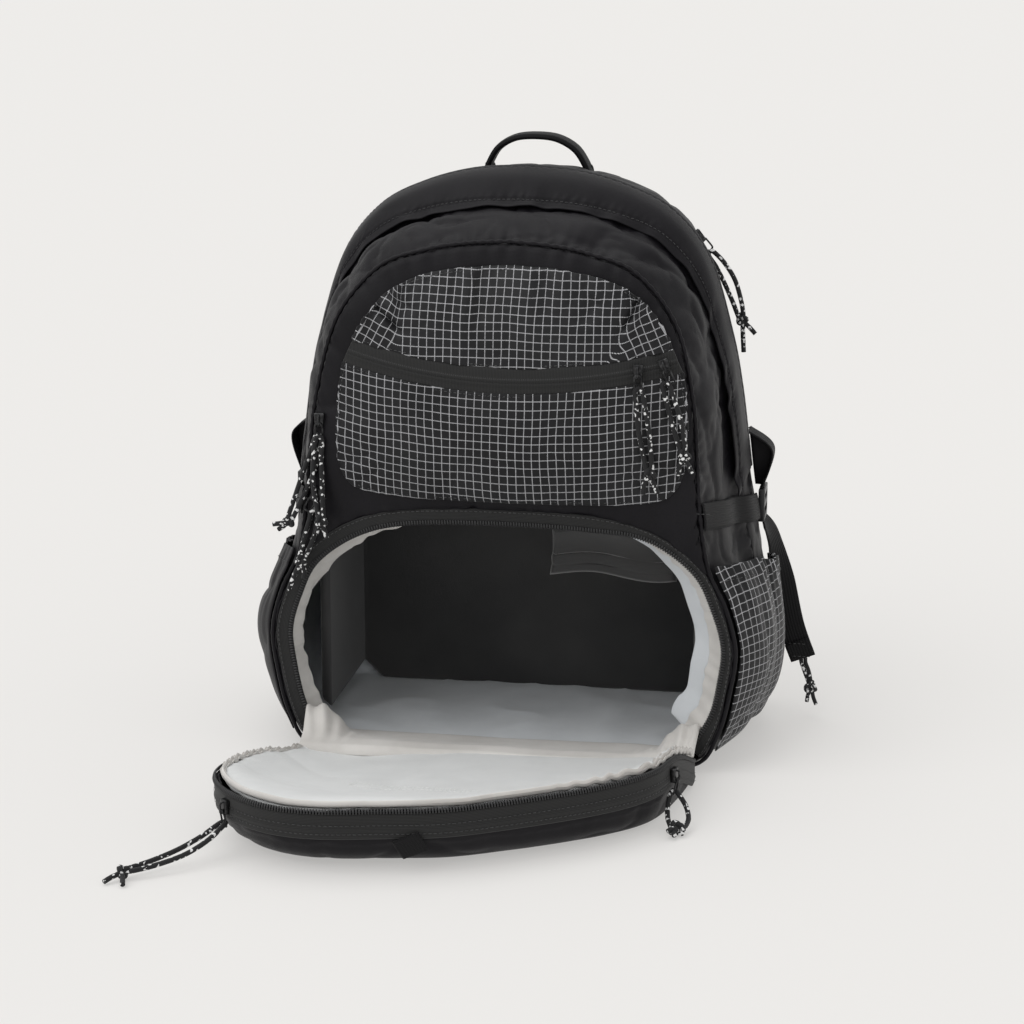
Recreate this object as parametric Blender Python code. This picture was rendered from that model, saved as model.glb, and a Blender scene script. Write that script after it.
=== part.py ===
"""Soft black backpack that stands with its lower front door folded down on the floor.

Metres, +Z up, the front looks along -Y. The origin is the centre of the flat base.
"""
import math

import bmesh
import bpy
from mathutils import Euler, Vector

# Body, measured outside
BODY_HEIGHT = 0.440
BODY_WIDTH = 0.385
BODY_DEPTH = 0.200
FRONT_HEIGHT = 0.398
FRONT_WIDTH = 0.356
BODY_WALL = 0.003
GUSSET_WALL = 0.002
BACK_PAD = 0.012
FRONT_BULGE = 0.008

# Clearance between pieces that touch
GAP = 0.0003

# Storm flap over the main zip
FLAP_CLOTH = 0.0016
FLAP_LIFT = 0.003

# Front pocket
POCKET_WIDTH = 0.264
POCKET_HEIGHT = 0.174
POCKET_SHIFT = 0.007
POCKET_BASE = 0.207
POCKET_PUFF = 0.012
POCKET_CLOTH = 0.0015
POCKET_ZIP_HEIGHT = 0.019
POCKET_ZIP_RISE = 0.018
POCKET_ZIP_PLACE = 0.300
POCKET_COLUMNS = 17

# Lower opening and what lines it
OPEN_HEIGHT = 0.200
TAPE_WIDTH = 0.010
TAPE_THICK = 0.0015
COIL_DIAMETER = 0.0036
LINING_INSET = 0.014
LINING_DEPTH = 0.018
LINING_CLOTH = 0.0015
LINER_CLEAR = 0.0065
INSERT_WALL = 0.008
INSERT_WIDTH = 0.300
INSERT_HEIGHT = 0.180
INSERT_DEPTH = 0.135
INSERT_CORNER = 0.040
INSERT_FOOT = 0.022

# Door that lies folded down in front
DOOR_LENGTH = 0.250
DOOR_DEPTH = 0.045
DOOR_CLOTH = 0.002
DOOR_PAD = 0.004
DOOR_LINING_EDGE = 0.0065
DOOR_TAPE_HEIGHT = 0.011
DOOR_TAB_WIDTH = 0.020

# Bottle pockets
BOTTLE_DEPTH_RIGHT = 0.016
BOTTLE_DEPTH_LEFT = 0.006
BOTTLE_CLOTH = 0.0015
BOTTLE_HEIGHT = 0.160
BOTTLE_DROP = 0.026
BOTTLE_REAR = 0.048
BOTTLE_FOOT = 0.018

# Loose strap tails from the lock down. Columns: outward, back, up, and width direction x, y
TAIL_RIGHT = (
    (0.008, 0.0, -0.020, 0.5, 1.0), (0.016, 0.0, -0.055, 1.0, 0.3), (0.024, -0.002, -0.090, 1.0, 0.1),
    (0.034, -0.003, -0.117, 1.0, 0.0),
)
TAIL_LEFT = (
    (0.004, 0.004, -0.020, 0.0, 1.0), (0.007, 0.004, -0.055, 0.0, 1.0), (0.009, 0.004, -0.090, 0.0, 1.0),
    (0.009, 0.004, -0.117, 0.0, 1.0),
)

# Shoulder strap and the webbing under it. Columns: x, off the back, share of the body height
STRAP_LINE = (
    (0.050, 0.0006, 0.895), (0.056, 0.0165, 0.80), (0.070, 0.0225, 0.64), (0.088, 0.0200, 0.48),
    (0.104, 0.0130, 0.36),
)
STRAP_WEB_LINE = ((0.112, 0.0120, 0.20), (0.122, 0.0060, 0.16), (0.128, 0.0025, 0.09),
                  (0.130, 0.0014, 0.05))
STRAP_LOCK_DROP = 0.0027
STRAP_TWIST = 0.15

# Webbing, straps and locks
SIDE_LIFT = 0.0017
WEB_WIDTH = 0.020
WEB_THICK = 0.0016
BAND_PLACE = 0.178
BAND_RISE = 0.022
LOCK_LENGTH = 0.026
LOCK_WIDTH = 0.027
LOCK_THICK = 0.005
LOCK_PLACE = 0.042
LOOP_RISE = 0.058
LOOP_BOW = 0.007
HANDLE_SPAN = 0.068
HANDLE_RISE = 0.021
HANDLE_THICK = 0.003
HANDLE_PLACE = 0.064
STRAP_WIDTH = 0.062
STRAP_THICK = 0.010

# Zip sliders and pull cords
SLIDER_LENGTH = 0.011
SLIDER_WIDTH = 0.008
SLIDER_THICK = 0.004
PULLER_LENGTH = 0.012
PULLER_SEAT = 0.004
PULLER_WIDTH = 0.006
PULLER_THICK = 0.0016
CORD_DIAMETER = 0.004
TAIL_CORD_DIAMETER = 0.003
KNOT_DIAMETER = 0.010

# Sliders on the pocket zip. Columns: x, lift off the zip, lean
POCKET_SLIDERS = {
    "pocket_slider_left": (0.103, 0.0016, 0.0),
    "pocket_slider_right": (0.121, 0.0014, -0.4),
}

# Sliders on the left of the front face. Columns: x, lift off the face, height, lean
LEFT_SLIDERS = {
    "main_slider_left": (-0.1385, 0.0004, 0.263, 0.0),
    "lower_slider_left": (-0.1400, -0.0004, 0.206, 0.5),
}

# Slider on the right of the main zip: station, share of the body height, lift, lean
RIGHT_SLIDER = (4.4, 0.85, 0.0052, -0.8)

# Door sliders. Columns: share of the way along the rim, distance of the middle off the rim
DOOR_SLIDERS = {"door_slider_left": (0.335, 0.0044), "door_slider_right": (0.846, 0.0049)}
DOOR_SLIDER_HEIGHT = 0.036

# Pull cords. Columns: slider, set before its loop, knot x, y, z, and width of the cord's loop
PULLS = {
    "pocket_left": ("pocket_slider_left", 0.0024, 0.1135, -0.1130, 0.2345, 0.010),
    "pocket_right": ("pocket_slider_right", 0.0, 0.1380, -0.1075, 0.2485, 0.009),
    "main_right": ("main_slider_right", 0.0, 0.1740, -0.0420, 0.3250, 0.010),
    "left_outer": ("main_slider_left", 0.0012, -0.1748, -0.1050, 0.1775, 0.009),
    "left_inner": ("main_slider_left", 0.0012 + CORD_DIAMETER + GAP, -0.1352, -0.1120, 0.1885, 0.009),
    "left_lower": ("lower_slider_left", 0.0, -0.1570, -0.1085, 0.1525, 0.009),
    "door_left": ("door_slider_left", 0.0, -0.2150, -0.3830, 0.0060, 0.012),
    "door_right": ("door_slider_right", 0.0, 0.1508, -0.2370, 0.0060, 0.010),
}

# Half of a pull cord from its bend to its knot. Columns: share of the way, share of the width
PULL_SHAPE = ((0.09, 0.56), (0.45, 1.0), (0.80, 0.72), (1.0, 0.58))
TAIL_CORD_LENGTH = 0.018

# Half outline of the bag from the middle of the base to the middle of the top.
# Columns: body half-width share, body height share, front half-width share, front height share
OUTLINE = (
    (0.00, 0.000, 0.00, 0.000),
    (0.42, 0.000, 0.45, 0.000),
    (0.81, 0.000, 0.82, 0.012),
    (0.955, 0.030, 0.93, 0.075),
    (1.00, 0.105, 0.985, 0.175),
    (0.995, 0.205, 1.00, 0.250),
    (0.965, 0.320, 0.955, 0.327),
    (0.925, 0.425, 0.88, 0.400),
    (0.893, 0.535, 0.842, 0.500),
    (0.865, 0.625, 0.826, 0.600),
    (0.824, 0.715, 0.80, 0.716),
    (0.730, 0.848, 0.72, 0.852),
    (0.587, 0.928, 0.545, 0.947),
    (0.410, 0.969, 0.337, 0.982),
    (0.212, 0.993, 0.17, 0.995),
    (0.00, 1.000, 0.00, 1.000),
)
LAST_ROW = len(OUTLINE) - 1

# Stations from the back seam to the front seam.
# Columns: share of the front outline, width share, height share, depth share low, depth share high
STATIONS = (
    (0.00, 0.90, 0.957, 0.00, 0.03),
    (0.00, 0.965, 0.990, 0.08, 0.11),
    (0.00, 1.00, 1.000, 0.30, 0.30),
    (0.00, 0.995, 0.992, 0.50, 0.48),
    (0.30, 0.985, 0.966, 0.62, 0.575),
    (0.65, 1.02, 1.000, 0.80, 0.70),
    (1.00, 1.00, 1.000, 1.00, 0.86),
)
ZIP_STATION = 3.2
FRONT_STATION = len(STATIONS) - 1
SEAM_STEP = 0.02
FLAP_STATIONS = (2.4, 2.8, ZIP_STATION, 3.8)
ROUND_STEP = 0.75
MATCH_STEP = 1e-6

# Lower corners of the front panel: share of the opening's height, and steps round the bag
PANEL_FOOT = 0.77
PANEL_ROUND = 9

LINER_STATIONS = (5.35, 3.8, 2.4, 1.15)

# Arch of the opening above the sides. Columns: front half-width share, opening height share
ARCH = ((0.85, 0.80), (0.66, 0.925), (0.42, 0.985))

# Half outline of the front pocket from bottom to top. Columns: half-width share, height share
POCKET_OUTLINE = (
    (0.00, 0.000), (0.50, 0.005), (0.83, 0.030), (0.95, 0.090), (0.995, 0.20), (1.00, 0.35),
    (0.97, 0.55), (0.90, 0.70), (0.75, 0.86), (0.55, 0.945), (0.30, 0.985), (0.00, 1.000),
)

# Rim of the folded door from its left hinge end to its right one, as the photo shows it.
# Columns: front half-width share, door length share
DOOR_RIM = (
    (-0.84, 0.00), (-0.95, 0.14), (-1.01, 0.36), (-1.00, 0.60), (-0.94, 0.82), (-0.76, 0.96),
    (-0.53, 1.01), (-0.22, 0.975), (0.04, 0.925), (0.39, 0.775), (0.60, 0.66), (0.73, 0.55),
    (0.79, 0.43), (0.83, 0.22), (0.84, 0.00),
)

# Door sections from hinge to rim. Columns: share of the way, share of the rim height
DOOR_SECTION = ((0.0, 0.0), (0.35, 0.0), (0.70, 0.0), (0.87, 0.03), (0.955, 0.22), (0.99, 0.60),
                (1.0, 1.0))
DOOR_LINING = ((0.03, 0.16), (0.30, 0.24), (0.60, 0.42), (0.80, 0.66), (0.93, 0.86), (1.0, 0.91))

# Share of the door's width left free at each end of its hinge, and columns across it
DOOR_END = 0.035
DOOR_COLUMNS = 25

BLACK_NYLON = ((0.018, 0.017, 0.020), 0.75, 0.0)
GRID_CLOTH = ((0.030, 0.030, 0.034), 0.70, 0.0)
BLACK_WEBBING = ((0.016, 0.016, 0.018), 0.70, 0.0)
BLACK_PLASTIC = ((0.012, 0.012, 0.013), 0.40, 0.0)
BLACK_METAL = ((0.020, 0.020, 0.021), 0.35, 0.8)
GREY_LINING = ((0.60, 0.60, 0.60), 0.80, 0.0)
CORD_BRAID = ((0.05, 0.05, 0.05), 0.80, 0.0)


def clear_scene():
    for old in list(bpy.data.objects):
        bpy.data.objects.remove(old, do_unlink=True)


def collection(name):
    group = bpy.data.collections.new(name)
    bpy.context.scene.collection.children.link(group)
    return group


def paint(part, finish):
    colour, roughness, metallic = finish
    material = bpy.data.materials.new(part.name)
    material.use_nodes = True
    shader = material.node_tree.nodes["Principled BSDF"]
    shader.inputs["Base Color"].default_value = (*colour, 1.0)
    shader.inputs["Roughness"].default_value = roughness
    shader.inputs["Metallic"].default_value = metallic
    part.data.materials.clear()
    part.data.materials.append(material)


def add_part(name, mesh_builder, finish, smooth=True):
    """Closes the bmesh with outward faces and stores it as a named part."""
    bmesh.ops.recalc_face_normals(mesh_builder, faces=mesh_builder.faces)
    mesh = bpy.data.meshes.new(name)
    mesh_builder.to_mesh(mesh)
    mesh_builder.free()
    if smooth:
        mesh.shade_smooth()
        mesh.set_sharp_from_angle(angle=math.radians(40))
    part = bpy.data.objects.new(name, mesh)
    PARTS.objects.link(part)
    paint(part, finish)
    return part


def curve_at(table, place):
    """Smooth curve through the rows of a table, read at a row number with a fraction."""
    last = len(table) - 1
    place = min(max(place, 0.0), float(last))
    row = min(int(place), last - 1)
    f = place - row
    before, start = table[max(row - 1, 0)], table[row]
    end, after = table[row + 1], table[min(row + 2, last)]
    values = []
    for a, b, c, d in zip(before, start, end, after):
        bend = 2 * b + (c - a) * f + (2 * a - 5 * b + 4 * c - d) * f * f
        values.append(0.5 * (bend + (3 * b - a - 3 * c + d) * f ** 3))
    return values


def smooth_line(points, steps):
    """Points of a smooth curve through chosen points."""
    count = (len(points) - 1) * steps
    return [Vector(curve_at(points, i / steps)) for i in range(count + 1)]


def shares_of(points):
    """Share of a line's length at each of its points."""
    lengths = [0.0]
    for a, b in zip(points, points[1:]):
        lengths.append(lengths[-1] + (b - a).length)
    return [length / lengths[-1] for length in lengths]


def at_share(points, shares, goal):
    row = 0
    while row < len(points) - 2 and shares[row + 1] < goal:
        row += 1
    share = (goal - shares[row]) / max(shares[row + 1] - shares[row], 1e-9)
    return points[row].lerp(points[row + 1], min(max(share, 0.0), 1.0))


def resample(points, count):
    """Evenly spaced points along a line."""
    shares = shares_of(points)
    return [at_share(points, shares, goal) for goal in spread(0.0, 1.0, count)]


def matched(first, second):
    """Two lines that each keep their own points and take points where the other has one."""
    near, far = shares_of(first), shares_of(second)
    goals = [0.0]
    for goal in sorted(near + far):
        if goal - goals[-1] > MATCH_STEP:
            goals.append(goal)
    return [at_share(first, near, g) for g in goals], [at_share(second, far, g) for g in goals]


def ease(value):
    value = min(max(value, 0.0), 1.0)
    return value * value * (3 - 2 * value)


def spread(start, end, count):
    return [start + (end - start) * i / (count - 1) for i in range(count)]


def depth_at(low, high, z):
    """Y of a seam that leans back towards the top."""
    lean = ease((z / BODY_HEIGHT - 0.45) / 0.5)
    return BODY_DEPTH * (0.5 - (low + (high - low) * lean))


def skin(u, t):
    """Outer surface of the bag. u runs back to front, t runs round from the base centre."""
    blend, width, height, low, high = curve_at(STATIONS, u)
    row = t if t <= LAST_ROW else 2 * LAST_ROW - t
    body_x, body_z, front_x, front_z = curve_at(OUTLINE, row)
    x = width * ((1 - blend) * body_x * BODY_WIDTH + blend * front_x * FRONT_WIDTH) / 2
    z = height * ((1 - blend) * body_z * BODY_HEIGHT + blend * front_z * FRONT_HEIGHT)
    z = max(z, 0.0)
    side = 1 if t <= LAST_ROW else -1
    return Vector((side * x, depth_at(low, high, z), z))


def skin_normal(u, t):
    step = 0.02
    back, front = max(u - step, 0.0), min(u + step, FRONT_STATION)
    along = skin(front, t) - skin(back, t)
    start, end = skin(u, max(t - step, 0.0)), skin(u, min(t + step, 2.0 * LAST_ROW))
    return (end - start).cross(along).normalized()


def off_skin(u, t, lift):
    point = skin(u, t) + skin_normal(u, t) * lift
    point.z = max(point.z, 0.0)
    return point


def solid_between(name, outer, inner, finish, wrap=False):
    """Closed solid between two grids of points of the same size."""
    builder = bmesh.new()
    outside = [[builder.verts.new(p) for p in row] for row in outer]
    inside = [[builder.verts.new(p) for p in row] for row in inner]
    rows, columns = len(outer), len(outer[0])
    pairs = [(j, (j + 1) % columns) for j in range(columns if wrap else columns - 1)]
    for i in range(rows - 1):
        for j, k in pairs:
            builder.faces.new((outside[i][j], outside[i][k], outside[i + 1][k], outside[i + 1][j]))
            builder.faces.new((inside[i][j], inside[i + 1][j], inside[i + 1][k], inside[i][k]))
    for i in (0, rows - 1):
        for j, k in pairs:
            builder.faces.new((outside[i][j], outside[i][k], inside[i][k], inside[i][j]))
    if not wrap:
        for j in (0, columns - 1):
            for i in range(rows - 1):
                builder.faces.new((outside[i][j], outside[i + 1][j], inside[i + 1][j], inside[i][j]))
    return add_part(name, builder, finish)


def shell_patch(name, stations, places, lift, wall, finish, wrap=False):
    """Piece of cloth that follows the skin. lift gives its outer face above the skin."""
    outer = [[off_skin(u, t, lift(u, t)) for t in places] for u in stations]
    inner = [[skin(u, t) + skin_normal(u, t) * (lift(u, t) - wall) for t in places] for u in stations]
    return solid_between(name, outer, inner, finish, wrap)


def loft(builder, sections):
    """Closed skin through sections that have the same number of points, with flat ends."""
    rings = [[builder.verts.new(p) for p in section] for section in sections]
    count = len(rings[0])
    for near, far in zip(rings, rings[1:]):
        for j in range(count):
            k = (j + 1) % count
            builder.faces.new((near[j], near[k], far[k], far[j]))
    builder.faces.new(rings[0])
    builder.faces.new(rings[-1])


def swept(name, sections, finish, split=False):
    """Solid through sections. split cuts its faces into triangles, as a twisted strap needs."""
    builder = bmesh.new()
    loft(builder, sections)
    if split:
        bmesh.ops.triangulate(builder, faces=builder.faces)
    return add_part(name, builder, finish)


def ribbon(name, points, across, width, thick, finish, steps=3):
    """Flat strap along a smooth line. across gives the width direction at each point."""
    line = smooth_line(points, steps)
    ways = smooth_line(across, steps)
    sections = []
    for i, point in enumerate(line):
        ahead = line[min(i + 1, len(line) - 1)] - line[max(i - 1, 0)]
        side = ways[i].normalized() * width / 2
        face = ahead.cross(side).normalized() * thick / 2
        sections.append([point - side - face, point + side - face, point + side + face,
                         point - side + face])
    return swept(name, sections, finish, split=True)


def tube(name, points, diameter, finish, steps=2):
    """Round cord along a smooth line through chosen points."""
    line = smooth_line(points, steps)
    data = bpy.data.curves.new(name, "CURVE")
    data.dimensions = "3D"
    spline = data.splines.new("POLY")
    spline.points.add(len(line) - 1)
    for knot, point in zip(spline.points, line):
        knot.co = (*point, 1.0)
    data.bevel_depth = diameter / 2
    data.bevel_resolution = 2
    data.use_fill_caps = True
    part = bpy.data.objects.new(name, data)
    PARTS.objects.link(part)
    paint(part, finish)
    return part


def add_cutter(name, builder):
    bmesh.ops.recalc_face_normals(builder, faces=builder.faces)
    mesh = bpy.data.meshes.new(name)
    builder.to_mesh(mesh)
    builder.free()
    cutter = bpy.data.objects.new(name, mesh)
    CUTTERS.objects.link(cutter)
    cutter.hide_render = True
    cutter.display_type = "WIRE"
    return cutter


def block(name, size, finish=None):
    """Box of a size round the origin: a part if it has a finish, a cutter if not."""
    builder = bmesh.new()
    bmesh.ops.create_cube(builder, size=1.0)
    bmesh.ops.scale(builder, vec=Vector(size), verts=builder.verts)
    if finish is None:
        return add_cutter(name, builder)
    return add_part(name, builder, finish, smooth=False)


def combine(part, other, operation):
    change = part.modifiers.new(other.name, "BOOLEAN")
    change.operation = operation
    change.object = other
    change.solver = "EXACT"


# Places on the sides and the top

def find_rising(test, low, high):
    """Where a test that is false at low and true at high changes."""
    for _ in range(18):
        middle = (low + high) / 2
        if test(middle):
            high = middle
        else:
            low = middle
    return (low + high) / 2


def round_at_height(u, z):
    return find_rising(lambda t: skin(u, t).z >= z, 1.9, 12.5)


def round_at_side(u, x):
    return find_rising(lambda t: skin(u, t).x <= x, 9.0, float(LAST_ROW))


def flank(y, z, lift, side=1):
    """Point off the side of the bag at a depth and a height."""
    u = find_rising(lambda s: skin(s, round_at_height(s, z)).y <= y, 0.0, float(FRONT_STATION))
    point = off_skin(u, round_at_height(u, z), lift)
    return Vector((side * point.x, point.y, point.z))


def crown(x, y, lift):
    """Point off the top of the bag at a side place and a depth."""
    near = abs(x)
    u = find_rising(lambda s: skin(s, round_at_side(s, near)).y <= y, 0.0, float(FRONT_STATION))
    point = off_skin(u, round_at_side(u, near), lift)
    return Vector((math.copysign(point.x, x), point.y, point.z))


def front_y(x, z):
    """Front face behind the pocket, bulged in its middle."""
    low, high = STATIONS[-1][3:]
    half_width, half_height = FRONT_WIDTH * 0.43, (FRONT_HEIGHT - OPEN_HEIGHT) / 2
    middle = OPEN_HEIGHT + half_height
    across = max(1 - (x / half_width) ** 2, 0.0)
    upward = max(1 - ((z - middle) / half_height) ** 2, 0.0)
    return depth_at(low, high, z) - FRONT_BULGE * across * upward


def front_sheet(name, lower, upper, rows, lift, wall, finish, shift=0.0):
    """Sheet on the front face between two lines, lift gives its back above that face."""
    grid = [[low.lerp(high, v) for low, high in zip(lower, upper)] for v in spread(0.0, 1.0, rows)]

    def placed(point, extra):
        x = point.x + shift
        return Vector((x, front_y(x, point.z) - lift(point.x, point.z) - extra, point.z))
    outer = [[placed(p, wall) for p in row] for row in grid]
    inner = [[placed(p, 0.0) for p in row] for row in grid]
    return solid_between(name, outer, inner, finish)


def inward(points, distance):
    """Line moved towards the inside of a loop that runs left, up, over and down right."""
    moved = []
    for i, point in enumerate(points):
        ahead = points[min(i + 1, len(points) - 1)] - points[max(i - 1, 0)]
        side = Vector((ahead.z, 0.0, -ahead.x)).normalized()
        moved.append(point + side * distance)
    return moved


def seam_inside(t):
    """Front seam moved in by the gusset's wall and a clearance."""
    point = skin(FRONT_STATION, t)
    before, after = skin(FRONT_STATION, t - 0.05), skin(FRONT_STATION, t + 0.05)
    along = (after - before).normalized()
    return point + Vector((-along.z, 0.0, along.x)) * (GUSSET_WALL + 4 * GAP)


# Shell

def make_back_panel():
    """Padded plate that closes the back inside the shell's rear edge."""
    sections = []
    for y, inset in ((0.5 * BODY_DEPTH, 0.004), (0.5 * BODY_DEPTH - 0.003, 0.0),
                     (0.5 * BODY_DEPTH - BACK_PAD, 0.0)):
        ring = []
        for t in rounds():
            edge = off_skin(0.0, t, 0.0)
            before, after = skin(0.0, (t - 0.1) % (2 * LAST_ROW)), skin(0.0, (t + 0.1) % (2 * LAST_ROW))
            along = (after - before).normalized()
            move = Vector((-along.z, 0.0, along.x)) * (BODY_WALL * 1.1 + GAP + inset)
            lean = BODY_DEPTH / 2 - edge.y
            ring.append(Vector((edge.x + move.x, y - lean, edge.z + move.z)))
        sections.append(ring)
    swept("back_panel", sections, BLACK_NYLON)


def rounds(start=0.0, end=2.0 * LAST_ROW - ROUND_STEP):
    """Places round the bag, on one spacing so that pieces that lie on each other match."""
    return spread(start, end, round((end - start) / ROUND_STEP) + 1)


def make_shell():
    stations = (0.0, 0.5, 1.35) + FLAP_STATIONS[:2] + (ZIP_STATION - SEAM_STEP,)
    shell_patch("body_shell", stations, rounds(), lambda u, t: 0.0, BODY_WALL, BLACK_NYLON, True)
    stations = (ZIP_STATION + SEAM_STEP, FLAP_STATIONS[-1], 4.6, 5.4, FRONT_STATION)
    shell_patch("front_gusset", stations, rounds(), lambda u, t: 0.0, GUSSET_WALL, BLACK_NYLON, True)


def make_storm_flap():
    """Arched cover over the main zip, lifted a little along its free front edge."""
    start = 7.5

    def lift(u, t):
        free = ease((u - FLAP_STATIONS[1]) / (FLAP_STATIONS[-1] - FLAP_STATIONS[1]))
        return FLAP_CLOTH + 2 * GAP + FLAP_LIFT * free
    shell_patch("storm_flap", FLAP_STATIONS, rounds(start, 2 * LAST_ROW - start), lift, FLAP_CLOTH,
                BLACK_NYLON)


def opening_line():
    """Edge of the lower opening from its left hinge end over the arch to its right one."""
    rises = [seam_inside(t) for t in (2.3, 2.7, 3.3, 4.0, 5.0, 6.0)]
    arch = [Vector((x * FRONT_WIDTH / 2, -BODY_DEPTH / 2, z * OPEN_HEIGHT)) for x, z in ARCH]
    top = Vector((0.0, -BODY_DEPTH / 2, OPEN_HEIGHT))
    right = rises + arch
    left = [Vector((-p.x, p.y, p.z)) for p in right]
    line = smooth_line(left + [top] + right[::-1], 3)
    return resample([Vector((p.x, -BODY_DEPTH / 2, p.z)) for p in line], 33)


def make_front_panel():
    """Upper front face between the opening and the front seam."""
    arch = [p for p in opening_line() if p.z >= OPEN_HEIGHT * PANEL_FOOT]
    start = PANEL_ROUND * ROUND_STEP
    seam = [seam_inside(t) for t in rounds(start, 2 * LAST_ROW - start)][::-1]
    lower, upper = matched(arch, seam)
    front_sheet("front_panel", lower, upper, 4, lambda x, z: -GUSSET_WALL, GUSSET_WALL, BLACK_NYLON)


# Front pocket

def pocket_line(count=80):
    """Whole outline of the pocket from the middle of its bottom round its right side."""
    half = [curve_at(POCKET_OUTLINE, i * (len(POCKET_OUTLINE) - 1) / count) for i in range(count + 1)]
    right = [Vector((x * POCKET_WIDTH / 2, 0.0, POCKET_BASE + z * POCKET_HEIGHT)) for x, z in half]
    left = [Vector((-p.x, 0.0, p.z)) for p in right]
    return left, right


def pocket_zip_z(x, offset):
    return POCKET_ZIP_PLACE + POCKET_ZIP_RISE * (2 * x / POCKET_WIDTH) ** 2 + offset


def pocket_puff(x, z):
    middle = POCKET_BASE + POCKET_HEIGHT / 2
    across = max(1 - (2 * x / POCKET_WIDTH) ** 2, 0.0)
    upward = max(1 - (2 * (z - middle) / POCKET_HEIGHT) ** 2, 0.0)
    return 2 * GAP + POCKET_PUFF * math.sqrt(across * upward)


def make_pocket():
    left, right = pocket_line()
    half = POCKET_ZIP_HEIGHT / 2
    low_side = [p for p in right if p.z < pocket_zip_z(p.x, -half) - 0.004]
    high_side = [p for p in right if p.z > pocket_zip_z(p.x, half) + 0.004]
    reach = low_side[-1].x - GAP
    columns = [reach * math.sin(angle) for angle in spread(-math.pi / 2, math.pi / 2, POCKET_COLUMNS)]
    bottom = [Vector((-p.x, 0.0, p.z)) for p in low_side[::-1]] + low_side[1:]
    top = [Vector((-p.x, 0.0, p.z)) for p in high_side] + high_side[::-1][1:]

    def zip_line(offset, width=1.0):
        return [Vector((x * width, 0.0, pocket_zip_z(x * width, offset))) for x in columns]
    front_sheet("pocket_lower", resample(bottom, POCKET_COLUMNS), zip_line(-half - GAP), 5, pocket_puff,
                POCKET_CLOTH, GRID_CLOTH, POCKET_SHIFT)
    front_sheet("pocket_zip", zip_line(-half + GAP), zip_line(half - GAP), 3, pocket_puff,
                POCKET_CLOTH, BLACK_NYLON, POCKET_SHIFT)
    narrow = high_side[0].x / reach
    front_sheet("pocket_upper", zip_line(half + GAP, narrow), resample(top, POCKET_COLUMNS), 5, pocket_puff,
                POCKET_CLOTH, GRID_CLOTH, POCKET_SHIFT)


# Lower opening

def along_opening(name, section, finish):
    """Solid along the opening. section lists inset and depth behind the front plane."""
    line = opening_line()
    sides = [inward(line, inset) for inset, _ in section]
    depths = [Vector((0.0, depth, 0.0)) for _, depth in section]
    sections = [[side[i] + depth for side, depth in zip(sides, depths)] for i in range(len(line))]
    swept(name, sections, finish)


def ring_section(inset, depth, diameter, count=6):
    turn = 2 * math.pi / count
    radius = diameter / 2
    return [(inset + radius * math.cos(turn * i), depth + radius * math.sin(turn * i))
            for i in range(count)]


def make_opening():
    edge = 2 * GAP
    tape = ((edge, 0.0), (TAPE_WIDTH, 0.0), (TAPE_WIDTH, TAPE_THICK), (edge, TAPE_THICK))
    along_opening("opening_tape", tape, BLACK_NYLON)
    middle = TAPE_WIDTH + GAP + COIL_DIAMETER / 2
    coil = ring_section(middle, TAPE_THICK / 2, COIL_DIAMETER)
    along_opening("opening_coil", coil, BLACK_PLASTIC)
    start = TAPE_THICK + COIL_DIAMETER / 2
    inner = middle + LINING_INSET
    band = ((TAPE_WIDTH - LINING_CLOTH, TAPE_THICK + GAP), (TAPE_WIDTH - LINING_CLOTH, start + LINING_CLOTH),
            (inner, start + LINING_DEPTH), (inner + LINING_CLOTH, start + LINING_DEPTH - LINING_CLOTH),
            (middle, start + GAP), (TAPE_WIDTH, TAPE_THICK + GAP))
    along_opening("opening_lining", band, GREY_LINING)


def liner_ring(u, top, inset, forward=0.0):
    """Section of the compartment inside the shell, cut off flat under the ceiling."""
    ring = []
    last = round_at_height(u, top)
    for t in spread(-last, last, 19):
        place = t if t >= 0 else 2 * LAST_ROW + t
        normal = skin_normal(u, min(max(place, 0.02), 2 * LAST_ROW - 0.02))
        point = skin(u, place) - Vector((normal.x, 0.0, normal.z)).normalized() * inset
        ring.append(Vector((point.x, point.y - forward, max(point.z, inset))))
    return ring


def cup(name, outer, inner, finish):
    """Open cup between two stacks of rings, closed behind the last ring of each."""
    builder = bmesh.new()
    stacks = [[[builder.verts.new(p) for p in ring] for ring in stack] for stack in (outer, inner)]
    count = len(outer[0])
    pairs = [(j, (j + 1) % count) for j in range(count)]
    for stack in stacks:
        for near, far in zip(stack, stack[1:]):
            for j, k in pairs:
                builder.faces.new((near[j], near[k], far[k], far[j]))
        builder.faces.new(stack[-1])
    for j, k in pairs:
        builder.faces.new((stacks[0][0][j], stacks[0][0][k], stacks[1][0][k], stacks[1][0][j]))
    return add_part(name, builder, finish)


def make_liner():
    """Compartment lining: an open front, sides, floor, ceiling and back."""
    top = OPEN_HEIGHT + LINER_CLEAR
    inset = LINER_CLEAR + LINING_CLOTH
    outer = [liner_ring(u, top, LINER_CLEAR) for u in LINER_STATIONS]
    inner = [liner_ring(u, top - LINING_CLOTH, inset) for u in LINER_STATIONS[:-1]]
    inner.append(liner_ring(LINER_STATIONS[-1], top - LINING_CLOTH, inset, LINING_CLOTH))
    cup("compartment_liner", outer, inner, GREY_LINING)


def arch_outline(width, height, base, corner, foot, count=6):
    """Outline with a flat foot, cut foot corners and round top corners."""
    half = width / 2
    points = [(-half, base + foot), (foot - half, base), (half - foot, base), (half, base + foot)]
    for middle, start in ((half - corner, 0.0), (corner - half, math.pi / 2)):
        for i in range(count + 1):
            angle = start + math.pi / 2 * i / count
            points.append((middle + corner * math.cos(angle), height - corner + corner * math.sin(angle)))
    return points


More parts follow.
